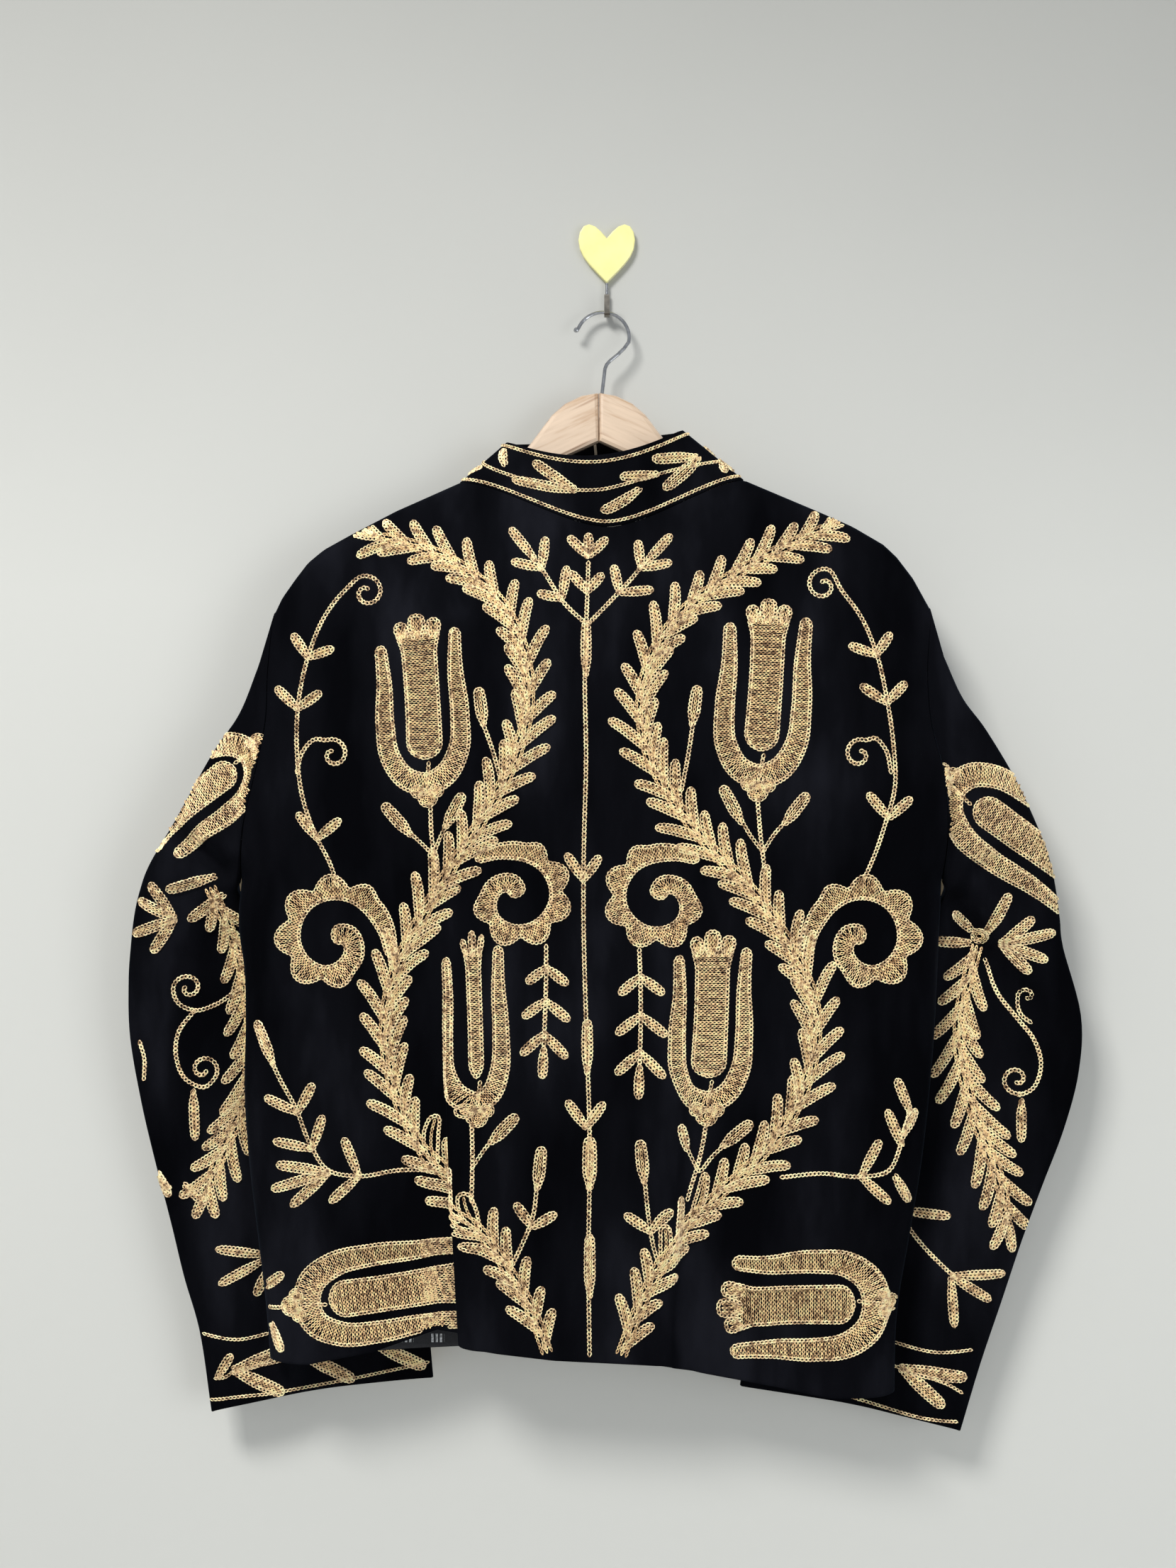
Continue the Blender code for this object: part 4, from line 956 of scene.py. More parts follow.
def stitched(name, rows, surface, finishes, outline=OUTLINE_STRAND):
    """Chain-stitch rows worked onto a surface, as one mesh of links."""
    rows = [row for row in rows if arc_length(row[0])[-1] >= LINK * 0.6]
    lines = evenly_over([row[0] for row in rows], surface)
    sizes = [len(line) for line in lines]
    owners = np.repeat(np.arange(len(rows)), sizes)
    widths, finish, lifts = (np.repeat([row[i] for row in rows], sizes) for i in (1, 2, 3))
    flat = np.concatenate(lines)
    points, normals, held = surface(flat[:, 0] * MM, flat[:, 1] * MM)
    lifts = lifts + LINK_UNEVEN * np.sin(7.3 * np.arange(len(lifts)))
    points = points + normals * (lifts * MM)[:, None]
    run = points[1:] - points[:-1]
    length = np.linalg.norm(run, axis=1)
    good = (owners[1:] == owners[:-1]) & held[1:] & held[:-1]
    good &= (length > 0.15 * LINK * MM) & (length < LONGEST_LINK * LINK * MM)
    normal = unit(normals[1:] + normals[:-1])
    along = run / np.maximum(length, 1e-9)[:, None]
    across_run = unit(np.cross(normal, along))
    vertices, quads, indices = [], [], []
    total = 0
    for kind, strand in ((OUTLINE, outline), (FILL, FILL_STRAND)):
        corners, faces = link_template(strand)
        chosen = np.nonzero(good & (finish[1:] == kind))[0]
        if not len(chosen):
            continue
        half = (widths[1:][chosen] * MM / 2)[:, None, None]
        made = (
            points[:-1][chosen][:, None, :]
            + run[chosen][:, None, :] * corners[None, :, 0:1]
            + across_run[chosen][:, None, :] * corners[None, :, 1:2] * half
            + normal[chosen][:, None, :] * corners[None, :, 2:3] * STITCH_HEIGHT
        )
        vertices.append(made.reshape(-1, 3))
        first = total + np.arange(len(chosen)) * len(corners)
        quads.append((faces[None] + first[:, None, None]).reshape(-1, 4))
        indices.append(np.full(len(chosen) * len(faces), kind))
        total += len(chosen) * len(corners)
    piece = mesh_of(
        name, np.concatenate(vertices), np.concatenate(quads), np.concatenate(indices), finishes
    )
    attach(piece, BODY)
    return piece


# How the places of stitches are found on the cloth
HALVINGS = 26
PROBE = 0.0005
RAY_START_FRONT, RAY_START_BACK = 0.2, -0.4
RAY_TURN = -0.22


def station_at(x, z):
    """The station of the body at x and z, found by halving."""
    low, high = np.full_like(x, -1.0), np.full_like(x, 2.0)
    for _ in range(HALVINGS):
        s = (low + high) / 2
        beyond = across(s, z) > x
        high = np.where(beyond, s, high)
        low = np.where(beyond, low, s)
    return (low + high) / 2


def back_surface(x, z):
    """Points and normals of the back for places on its cloth, laid flat."""
    def point_at(x, z):
        s = station_at(x, z)
        return back_folds(body_point(s, z, True), s)

    step = PROBE
    point = point_at(x, z)
    du = point_at(x + step, z) - point_at(x - step, z)
    dv = point_at(x, z + step) - point_at(x, z - step)
    normal = unit(np.cross(du, dv))
    s = station_at(x, z)
    held = (z < top_height(s, True) - EDGE_MARGIN) & (z > hem_height(s, True) + EDGE_MARGIN)
    low, high = side_lines(z)
    held &= (x > low + SIDE_MARGIN) & (x < high - SIDE_MARGIN)
    held &= normal[:, 1] < FOLD_TURN
    return point, normal, held


def ray_surface(piece, from_front):
    """Points and normals of a piece's outer face, met by lines along Y from the given side."""
    mesh = piece.data
    tree = BVHTree.FromPolygons([v.co for v in mesh.vertices], [p.vertices for p in mesh.polygons])
    start = RAY_START_FRONT if from_front else RAY_START_BACK
    towards = Vector((0.0, -1.0 if from_front else 1.0, 0.0))

    def surface(x, z):
        points, normals = np.zeros((len(x), 3)), np.zeros((len(x), 3))
        held = np.zeros(len(x), bool)
        for i in range(len(x)):
            spot, normal, _, _ = tree.ray_cast(Vector((x[i], start, z[i])), towards)
            if spot is None:
                continue
            if normal.dot(towards) > 0:
                normal = -normal
            points[i], normals[i] = spot, normal
            held[i] = normal.dot(towards) < RAY_TURN
        return points, normals, held

    return surface


COLLAR_ROUND = 220.0  # millimetres from its middle to where it would meet itself
COLLAR_TALL = 56.0
COLLAR_END_MARGIN = 0.01
COLLAR_LOW, COLLAR_HIGH = 0.023, 0.985
COLLAR_BORDER = 4.6
COLLAR_BORDER_END, COLLAR_VINE_END = 216, 212
COLLAR_VINE_HEIGHT, COLLAR_VINE_SWING, COLLAR_VINE_WAVE = 26, 5, 24


def collar_surface(x, z):
    """Points and normals of the collar: x runs round it, z up it."""
    c, h = x / MM / COLLAR_ROUND, z / MM / COLLAR_TALL
    point = collar_point(c, h)
    normal = outward(collar_point, c, h)
    middle = np.array([COLLAR_TOP_MIDDLE, COLLAR_TOP_PLANE, 0.0])
    away = (point - middle) * (1.0, 1.0, 0.0)
    normal = normal * np.sign(np.sum(normal * away, -1, keepdims=True))
    held = (np.abs(c) < COLLAR_FRONT_END - COLLAR_END_MARGIN) & (h > COLLAR_LOW) & (h < COLLAR_HIGH)
    return point, normal, held


# Layout in millimetres. The back
def back_fern_rows():
    left = fern([
        (-49, -931), (-64, -891), (-93, -845), (-125, -806), (-156, -761), (-175, -719),
        (-184, -673), (-179, -628), (-158, -579), (-131, -534), (-102, -488), (-78, -443),
        (-66, -398), (-70, -352), (-88, -313), (-120, -282), (-159, -263), (-193, -255),
    ], 40)
    right = fern([
        (10, -933), (26, -891), (49, -847), (84, -808), (121, -774), (152, -735), (169, -690),
        (171, -647), (152, -599), (121, -553), (84, -514), (54, -475), (34, -437), (28, -398),
        (36, -359), (61, -321), (100, -291), (146, -265), (185, -247),
    ], 40)
    return left + right


def back_tulip_rows():
    rows = placed(tulip(150, 39, 33, 17, 0.92), (-149, -477), 4)
    rows += placed(tulip(158, 40, 32, 18, 0.94), (124, -472), -4)
    rows += placed(tulip(150, 28, 14, 15), (-107, -740), 2)
    rows += placed(tulip(150, 35, 31, 15.5), (82, -740), -2)
    rows += cut_at(placed(tulip(152, 41, 34, 20, 1.06), (-266, -896), -81), -130)
    # Rows lengthways under its ends, where the fold spreads the rows across
    for middle, rows_aside in ((-845, 2), (-876, 4), (-907, 2)):
        for k in range(-rows_aside, rows_aside + 1):
            line = np.array([(-154, middle + ROW * k - 2), (-130, middle + ROW * k + 2)])
            rows.append((line, FILL_WIDTH, FILL, -0.15))
    rows += placed(tulip(140, 46, 36, 21, 1.02), (237, -892), 91)
    return rows


def back_curl_rows():
    rows = placed(curl(), (-231, -585))
    rows += stem([(-186, -581), (-181, -602), (-179, -617)])
    rows += placed(curl(), (216, -585), mirror=True)
    rows += stem([(165, -581), (156, -600), (151, -617)])
    rows += placed(curl(), (-70, -556), -60, 0.90, mirror=True)
    rows += placed(curl(), (37, -558), 62, 0.90)
    return rows


def back_vine_rows():
    # The middle stem, its buds and its head of leaves
    rows = stem([
        (-15, -941), (-16, -852), (-15, -758), (-18, -657), (-20, -579), (-20, -527),
        (-18, -437), (-19, -372), (-18, -333),
    ])
    rows += bud((-18, -373), 90, 46, 9)
    rows += bud((-17, -701), 90, 44, 9.5)
    rows += bud((-15, -795), 90, 42, 12)
    rows += bud((-15, -884), 90, 52, 9.5)
    rows += pair((-20, -542), 90, 34, 26)
    rows += pair((-18, -745), 90, 36, 27)
    rows += stem([(-18, -333), (-17, -307), (-16, -276)])
    rows += pair((-17, -302), 90, 40, 22, 8.4)
    rows += pair((-16, -272), 90, 44, 24, 8.6)
    rows += leaf((-16, -272), 90, 20)
    rows += stem([(-18, -329), (-35, -313), (-52, -287), (-62, -272)])
    rows += leaf((-38, -308), 82, 28)
    rows += leaf((-38, -308), 166, 21)
    rows += leaf((-55, -282), 84, 27)
    rows += leaf((-55, -282), 166, 26)
    rows += leaf((-61, -274), 128, 34)
    rows += stem([(-16, -329), (7, -305), (24, -286), (33, -274)])
    rows += leaf((10, -303), 102, 24)
    rows += leaf((10, -303), 6, 28)
    rows += leaf((28, -282), 96, 24)
    rows += leaf((28, -282), 12, 26)
    rows += leaf((32, -277), 48, 32)

    # Stalks and buds of the upper tulips
    rows += stem([(-147, -479), (-146, -505), (-142, -533)])
    rows += stem([(-146, -520), (-155, -511), (-164, -503)], LINK_WIDTH)
    rows += bud((-163, -505), 132, 34)
    rows += stem([(-144, -520), (-138, -505), (-133, -495)], LINK_WIDTH)
    rows += bud((-135, -499), 62, 32)
    rows += stem([(-88, -462), (-96, -433), (-104, -411)])
    rows += bud((-103, -414), 98, 31)
    rows += stem([(124, -474), (126, -500), (130, -535)])
    rows += stem([(128, -518), (118, -505), (110, -491)], LINK_WIDTH)
    rows += bud((111, -495), 118, 34)
    rows += stem([(129, -518), (138, -504), (147, -494)], LINK_WIDTH)
    rows += bud((146, -496), 52, 32)
    rows += stem([(61, -468), (67, -437), (71, -411)])
    rows += bud((70, -414), 82, 33)

    # Stalks and buds of the lower tulips and of those along the hem
    rows += stem([(-112, -742), (-111, -774), (-110, -806)])
    rows += stem([(-111, -777), (-103, -765), (-96, -756)], LINK_WIDTH)
    rows += bud((-97, -758), 46, 32)
    rows += stem([(81, -743), (76, -774), (68, -806)])
    rows += stem([(76, -782), (71, -770), (66, -760)], LINK_WIDTH)
    rows += bud((67, -764), 112, 22)
    rows += stem([(77, -782), (87, -769), (97, -760)], LINK_WIDTH)
    rows += bud((94, -762), 40, 32)
    rows += stem([(-286, -899), (-276, -898), (-266, -896)])
    rows += leaf((-288, -884), 40, 24)
    rows += leaf((-280, -912), -68, 24)
    rows += stem([(252, -893), (243, -893), (234, -892)])

    # Sprigs that hang from the curled leaves
    points = [(-51, -596), (-51, -625), (-52, -657), (-53, -682)]
    rows += sprig(points, ((0.20, 52, 22), (0.52, 52, 25), (0.84, 46, 27)), 24)
    points = [(26, -599), (27, -628), (27, -664), (26, -697)]
    rows += sprig(points, ((0.22, 52, 24), (0.54, 52, 27), (0.86, 46, 29)), 26)

    # Tendrils by the armholes
    tendril = spiral((-202, -302), 14.5, 100, 1.15, True)
    rows += stem([
        (-224, -547), (-231, -527), (-241, -508), (-253, -475), (-258, -437), (-257, -391),
        (-249, -353), (-236, -321), (-219, -299),
    ] + tendril)
    tendril = spiral((-228, -438), 13.5, 120, 1.1, True)
    rows += stem([(-258, -453), (-253, -435), (-242, -425)] + tendril)
    rows += pair((-241, -508), 84, 44, 27)
    rows += pair((-258, -400), 86, 50, 26)
    rows += pair((-250, -357), 72, 52, 24)
    tendril = spiral((181, -296), 14.5, 80, 1.15)
    rows += stem([
        (210, -547), (222, -520), (230, -496), (238, -466), (237, -430), (232, -391),
        (224, -353), (212, -323), (196, -300),
    ] + tendril)
    rows += stem([(235, -453), (230, -433), (220, -424)] + spiral((209, -438), 13.5, 60, 1.1))
    rows += pair((233, -491), 86, 44, 27)
    rows += pair((232, -395), 96, 50, 26)
    rows += pair((224, -355), 108, 52, 24)

    # Branches above the hem's tulips
    rows += stem([
        (-138, -782), (-172, -782), (-208, -787), (-232, -782), (-246, -762), (-259, -730),
        (-271, -708), (-279, -691),
    ])
    rows += bud((-277, -695), 112, 38, 9.5)
    rows += pair((-257, -735), 108, 46, 30)
    rows += pair((-245, -765), 120, 48, 32)
    rows += leaf((-206, -787), 112, 34)
    rows += leaf((-206, -787), 222, 32)
    for angle, length in ((172, 44), (197, 50), (222, 42)):
        rows += leaf((-231, -784), angle, length, 9.2)
    rows += stem([(143, -787), (178, -784), (208, -787), (232, -782), (242, -761), (250, -730)])
    rows += leaf((209, -787), 62, 34)
    rows += leaf((209, -787), -42, 32)
    rows += leaf((243, -762), 112, 32)
    rows += leaf((244, -753), 62, 24)
    rows += leaf((250, -734), 112, 30)
    rows += leaf((237, -786), -60, 26)

    # Small sprigs inside the ferns' feet
    rows += stem([(-80, -860), (-70, -839), (-62, -819), (-58, -790)])
    rows += bud((-58, -795), 84, 34)
    rows += pair((-62, -826), 78, 48, 24)
    rows += stem([(43, -860), (38, -845), (34, -823), (30, -787)])
    rows += bud((30, -790), 96, 34)
    rows += pair((35, -830), 98, 48, 25)
    return rows


# The sleeves: the side that shows from the room
def left_sleeve_rows():
    rows = placed(tulip(128, 36, 27, 18), (-288, -430), 128)
    rows += knob((-291, -428), 8.5)
    for angle, length in ((122, 36), (152, 34), (200, 38), (236, 34)):
        rows += leaf((-364, -576), angle, length, 9.6)
    rows += fern([
        (-334, -547), (-320, -585), (-308, -634), (-304, -687), (-309, -733), (-325, -772),
        (-338, -803),
    ], 42)
    rows += leaf((-329, -540), 196, 42, 9.6)
    rows += leaf((-322, -555), 216, 38, 9.6)
    tendril = spiral((-354, -635), 12, 170, 1.1, True)
    rows += stem([(-312, -635), (-333, -650), (-349, -654), (-363, -646), (-366, -635)] + tendril)
    tendril = spiral((-342, -704), 13, -60, 1.15)
    rows += stem([(-349, -654), (-362, -672), (-364, -693), (-355, -713), (-338, -718)] + tendril)
    rows += bud((-350, -721), -88, 42, 8.6)
    rows += leaf((-289, -862), 172, 42)
    rows += leaf((-291, -866), 208, 42)
    rows += leaf((-288, -874), 246, 24)
    rows += leaf((-370, -806), 150, 18)
    rows += leaf((-358, -801), -42, 24)
    rows += stem([(-289, -862), (-273, -862)])
    for x, z in ((-317, -959), (-258, -950), (-198, -941)):
        rows += leaf((x, z), 20, 50, 11.5)
        rows += leaf((x, z), -27, 47, 11.5)
        rows += stem([(x, z), (x + 57, z + 9)], BORDER_WIDTH)
    rows += stem([(-333, -967), (-323, -965), (-317, -960)], BORDER_WIDTH)
    rows += leaf((-331, -966), 58, 24, 8)
    rows += stem([
        (-343, -929), (-313, -933), (-283, -928), (-234, -926), (-181, -924), (-144, -917),
    ], BORDER_WIDTH)
    rows += stem([
        (-337, -986), (-313, -982), (-287, -980), (-234, -973), (-181, -963), (-150, -958),
    ], BORDER_WIDTH)
    rows += stem([(-395, -680), (-391, -694), (-392, -713)])
    rows += leaf((-381, -792), -64, 22)
    return rows


def right_sleeve_rows():
    rows = placed(tulip(164, 40, 30, 19), (275, -457), -124)
    rows += knob((278, -452), 8)
    for angle, length in ((40, 34), (12, 46), (-20, 40), (-46, 34)):
        rows += leaf((332, -597), angle, length, 9.6)
    rows += leaf((321, -589), 64, 38, 9.6)
    rows += leaf((310, -598), 176, 34, 9.2)
    rows += leaf((313, -589), 138, 26, 9.2)
    rows += knob((317, -592), 7.5)
    rows += fern([
        (316, -598), (304, -635), (299, -673), (305, -720), (317, -759), (332, -799),
        (338, -829),
    ], 44)
    tendril = spiral((346, -712), 13, -70, 1.15, True)
    rows += stem([
        (321, -611), (330, -639), (346, -660), (361, -680), (366, -701), (358, -721),
        (346, -726),
    ] + tendril)
    tendril = spiral((355, -642), 8, 200, 0.9, True)
    rows += stem([(358, -664), (350, -658), (347, -650)] + tendril)
    rows += bud((350, -729), -90, 36, 8.6)
    rows += stem([(246, -824), (264, -850), (284, -871), (296, -882)])
    rows += leaf((251, -826), -4, 40)
    rows += leaf((291, -879), 2, 46)
    rows += leaf((291, -879), -32, 40)
    rows += leaf((291, -880), -86, 42)
    for x, z in ((249, -958), (188, -950), (142, -944)):
        rows += leaf((x, z), -8, 56, 11.5)
        rows += leaf((x, z), -42, 48, 11.5)
        rows += stem([(x - 22, z + 4), (x, z)], BORDER_WIDTH)
    rows += stem([(274, -966), (288, -971), (301, -979)], BORDER_WIDTH)
    rows += stem([(115, -917), (175, -926), (231, -934), (280, -944), (309, -942)], BORDER_WIDTH)
    rows += stem([(113, -965), (175, -977), (234, -992), (267, -1000), (297, -1004)], BORDER_WIDTH)
    return rows


# The sides towards the wall carry motifs of the same kinds
def left_sleeve_inner_rows():
    rows = placed(tulip(128, 33, 27, 16), (-345, -620), -8)
    rows += fern([(-352, -640), (-330, -700), (-300, -760), (-276, -820), (-262, -880)], 36)
    rows += sprig([(-262, -610), (-262, -660), (-244, -720)], ((0.3, 46, 26), (0.7, 46, 26)), 24)
    rows += stem([(-340, -760), (-350, -810)] + spiral((-336, -822), 13, 150, 1.1))
    rows += stem([(-346, -926), (-250, -930), (-160, -920)], BORDER_WIDTH)
    rows += stem([(-334, -982), (-250, -978), (-154, -962)], BORDER_WIDTH)
    for x in (-290, -236, -182):
        rows += leaf((x, -952), 22, 40, 9.6)
        rows += leaf((x, -952), -28, 38, 9.6)
        rows += stem([(x - 22, -954), (x, -952)], BORDER_WIDTH)
    return rows


def right_sleeve_inner_rows():
    rows = placed(tulip(128, 33, 27, 16), (335, -610), 8)
    rows += fern([(338, -632), (318, -700), (284, -760), (256, -820), (236, -880)], 36)
    rows += sprig([(244, -620), (240, -670), (218, -730)], ((0.3, 46, 26), (0.7, 46, 26)), 24)
    rows += stem([(330, -760), (336, -800)] + spiral((322, -812), 13, 30, 1.1, True))
    rows += stem([(322, -936), (220, -930), (128, -916)], BORDER_WIDTH)
    rows += stem([(302, -996), (210, -984), (120, -966)], BORDER_WIDTH)
    for x in (268, 212, 158):
        rows += leaf((x, -960), 158, 38, 9.6)
        rows += leaf((x, -960), 208, 36, 9.6)
        rows += stem([(x + 22, -962), (x, -960)], BORDER_WIDTH)
    return rows


def front_rows(side, edge, outer):
    """Motifs of one front: side is -1 on the left, edge and outer are its x limits."""
    middle = (edge + outer) / 2

    def at(out, z):
        return middle + side * out, z

    rows = fern([
        at(-70, -925), at(-30, -860), at(12, -790), at(20, -710), at(-4, -630), at(-40, -560),
        at(-52, -480), at(-30, -400), at(16, -340), at(52, -310),
    ], 40)
    rows += placed(tulip(126, 36, 28, 16), at(56, -520))
    rows += placed(tulip(126, 36, 28, 16), at(-68, -780))
    rows += placed(tulip(120, 34, 28, 16), at(84, -884))
    rows += placed(curl(), at(82, -612), 0, 0.90, mirror=side > 0)
    rows += sprig([at(-76, -900), at(-82, -850), at(-74, -806)], ((0.4, 46, 26),), 0)
    rows += sprig([at(78, -690), at(84, -730), at(80, -750)], ((0.35, 50, 24), (0.8, 46, 24)), 0)
    rows += sprig([at(-88, -560), at(-96, -510), at(-92, -450)], ((0.3, 46, 24), (0.7, 46, 24)), 24)
    tendril = spiral(at(-90, -330), 13, 90 + side * 90, 1.1, side < 0)
    rows += stem([at(-60, -400), at(-92, -380), at(-104, -340)] + tendril)
    border = edge + side * 8
    rows += stem([(border, -922), (border, -600), (border, -260)], BORDER_WIDTH)
    rows += stem([(border, -918), (middle, -920), (outer - side * 14, -914)], BORDER_WIDTH)
    return rows


def collar_rows():
    rows = []
    x = np.linspace(-COLLAR_BORDER_END, COLLAR_BORDER_END, 260)
    for z in (COLLAR_BORDER, COLLAR_TALL - COLLAR_BORDER):
        line = np.stack([x, np.full_like(x, z)], 1)
        rows.append((line, BORDER_WIDTH, OUTLINE, 0))
    x = np.linspace(-COLLAR_VINE_END, COLLAR_VINE_END, 240)
    z = COLLAR_VINE_HEIGHT + COLLAR_VINE_SWING * np.sin((x + 18) / COLLAR_VINE_WAVE)
    rows.append((np.stack([x, z], 1), BORDER_WIDTH, OUTLINE, 0))
    # Leaves in pairs along the vine, then single ones
    for x, z, angle, length in (
        (-178, 27, 168, 34), (-122, 24, 176, 36), (-14, 27, 170, 40),
        (74, 30, 176, 40), (134, 24, 176, 36), (190, 26, 180, 34),
    ):
        rows += leaf((x, z), angle - 17, length * 0.9, 10)
        rows += leaf((x, z), angle + 24, length, 10)
    for x, z, angle, length in (
        (-66, 30, 140, 26), (-90, 22, 200, 26), (24, 24, 206, 26), (38, 30, 162, 24),
        (104, 22, 206, 24), (-150, 22, 206, 24), (160, 30, 150, 24),
    ):
        rows += leaf((x, z), angle, length, 8.6)
    return rows


# Materials
class Nodes:
    """The nodes of one material, with short ways to add and join them."""

    def __init__(self, name):
        self.material = bpy.data.materials.new(name)
        self.material.use_nodes = True
        self.tree = self.material.node_tree
        self.shader = self.tree.nodes["Principled BSDF"]
        self.place = self.add("ShaderNodeTexCoord").outputs["Object"]

    def add(self, kind):
        return self.tree.nodes.new(kind)

    def join(self, value, socket):
        if isinstance(value, bpy.types.NodeSocket):
            self.tree.links.new(value, socket)
        else:
            socket.default_value = value

    def axes(self):
        """The place along X and along Z."""
        node = self.add("ShaderNodeSeparateXYZ")
        self.join(self.place, node.inputs["Vector"])
        return node.outputs["X"], node.outputs["Z"]

    def stretched(self, scale, slope=0.0):
        """The place turned by a slope, then scaled along each axis."""
        turned = self.add("ShaderNodeMapping")
        self.join(self.place, turned.inputs["Vector"])
        turned.inputs["Rotation"].default_value = (0.0, slope, 0.0)
        node = self.add("ShaderNodeMapping")
        self.join(turned.outputs["Vector"], node.inputs["Vector"])
        node.inputs["Scale"].default_value = scale
        return node.outputs["Vector"]

    def noise(self, scale, detail=3.0, vector=None):
        node = self.add("ShaderNodeTexNoise")
        self.join(vector or self.place, node.inputs["Vector"])
        node.inputs["Scale"].default_value = scale
        node.inputs["Detail"].default_value = detail
        return node.outputs["Fac"]

    def math(self, operation, a, b=0.0, c=0.0):
        node = self.add("ShaderNodeMath")
        node.operation = operation
        for socket, value in zip(node.inputs, (a, b, c)):
            self.join(value, socket)
        return node.outputs["Value"]

    def ramp(self, value, stops):
        node = self.add("ShaderNodeValToRGB")
        self.join(value, node.inputs["Fac"])
        elements = node.color_ramp.elements
        while len(elements) < len(stops):
            elements.new(0.5)
        for element, (at, colour) in zip(elements, stops):
            element.position = at
            element.color = (*colour, 1.0)
        return node.outputs["Color"]

    def mix(self, share, a, b):
        node = self.add("ShaderNodeMix")
        node.data_type = "RGBA"
        self.join(share, node.inputs["Factor"])
        self.join(a, node.inputs["A"])
        self.join(b, node.inputs["B"])
        return node.outputs["Result"]

    def bump(self, height, strength, distance):
        node = self.add("ShaderNodeBump")
        self.join(height, node.inputs["Height"])
        node.inputs["Strength"].default_value = strength
        node.inputs["Distance"].default_value = distance
        self.join(node.outputs["Normal"], self.shader.inputs["Normal"])

    def set(self, values):
        for name, value in values.items():
            self.join(value, self.shader.inputs[name])


def shade(colour, factor):
    return tuple(min(1.0, channel * factor) for channel in colour)


def velvet_material(name, settings):
    nodes = Nodes(name)
    colour = tuple(settings.velvet_colour)
    nap = nodes.noise(5.0, 4.0, nodes.stretched((3.0, 3.0, 1.0)))
    stops = ((0.36, shade(colour, 0.5)), (0.52, colour), (0.68, shade(colour, 2.4)))
    nodes.set({
        "Base Color": nodes.ramp(nap, stops),
        "Roughness": 0.95,
        "Specular IOR Level": 0.0,
        "Sheen Weight": settings.velvet_sheen,
        "Sheen Roughness": 0.28,
        "Sheen Tint": (*settings.velvet_sheen_colour, 1.0),
    })
    pile = nodes.noise(1400.0, 2.0)
    brushed = nodes.noise(60.0, 3.0, nodes.stretched((2.0, 2.0, 0.6)))
    nodes.bump(nodes.math("ADD", pile, nodes.math("MULTIPLY", brushed, 1.5)), 0.35, 0.0005)
    return nodes.material


# Painted shade: how dark the thread's darkest noise patches are, as a share of its colour, standing
# in for shade between its strands
THREAD_PAINTED_SHADE = (0.26, 0.19, 0.13)


def thread_material(name, colour):
    nodes = Nodes(name)
    colour = tuple(colour)
    # deep is the painted shade colour, and the ramp's top stop is a painted highlight; fine noise
    # scatters both over the thread's real patchy tone
    deep = tuple(channel * share for channel, share in zip(colour, THREAD_PAINTED_SHADE))
    patches = nodes.noise(28.0, 3.0)
    rows = nodes.noise(290.0, 2.0)
    strands = nodes.noise(620.0, 2.0)
    rows = nodes.math("MULTIPLY", rows, 0.60)
    finer = nodes.math("ADD", rows, nodes.math("MULTIPLY", strands, 0.25))
    mixed = nodes.math("ADD", nodes.math("MULTIPLY", patches, 0.15), finer)
    stops = ((0.40, deep), (0.49, colour), (0.58, shade(colour, 1.25)))
    nodes.set({
        "Base Color": nodes.ramp(mixed, stops),
        "Roughness": 0.36,
        "Sheen Weight": 0.15,
        "Specular IOR Level": 0.70,
    })
    nodes.bump(nodes.noise(2600.0, 2.0), 0.5, 0.0003)
    return nodes.material


# Lining: spacing of the rows of dashes, shift from row to row, spacing of the groups
DASH_ROW, DASH_SHIFT, DASH_GROUP = 0.017, 0.011, 0.026
DASH_COLOUR = (0.62, 0.64, 0.66, 1.0)


def lining_material(name, settings):
    """Dark cotton with small groups of pale dashes in rows."""
    nodes = Nodes(name)
    x, z = nodes.axes()
    row = nodes.math("DIVIDE", z, DASH_ROW)
    shifted = nodes.math("ADD", x, nodes.math("MULTIPLY", nodes.math("FLOOR", row), DASH_SHIFT))
    group = nodes.math("FRACT", nodes.math("DIVIDE", shifted, DASH_GROUP))
    in_group = nodes.math("LESS_THAN", group, 0.42)
    dash = nodes.math("LESS_THAN", nodes.math("FRACT", nodes.math("MULTIPLY", group, 7.2)), 0.52)
    tall = nodes.math("LESS_THAN", nodes.math("FRACT", row), 0.42)
    dashes = nodes.math("MULTIPLY", nodes.math("MULTIPLY", in_group, dash), tall)
    wear = nodes.ramp(nodes.noise(500.0), ((0.35, (0.3,) * 3), (0.6, (1.0,) * 3)))
    worn = nodes.math("MULTIPLY", dashes, wear)
    ground = tuple(settings.lining_colour)
    threads = nodes.noise(900.0, 1.0)
    weave = nodes.ramp(threads, ((0.3, shade(ground, 0.7)), (0.7, shade(ground, 1.4))))
    nodes.set({
        "Base Color": nodes.mix(worn, weave, DASH_COLOUR),
        "Roughness": 0.85,
    })
    nodes.bump(threads, 0.3, 0.0003)
    return nodes.material


# Wood: the share of each channel in the pale grain's darker parts, and the dark streaks
WOOD_DEEP = (0.74, 0.62, 0.50)
STREAK_COLOUR = (0.24, 0.12, 0.06, 1.0)


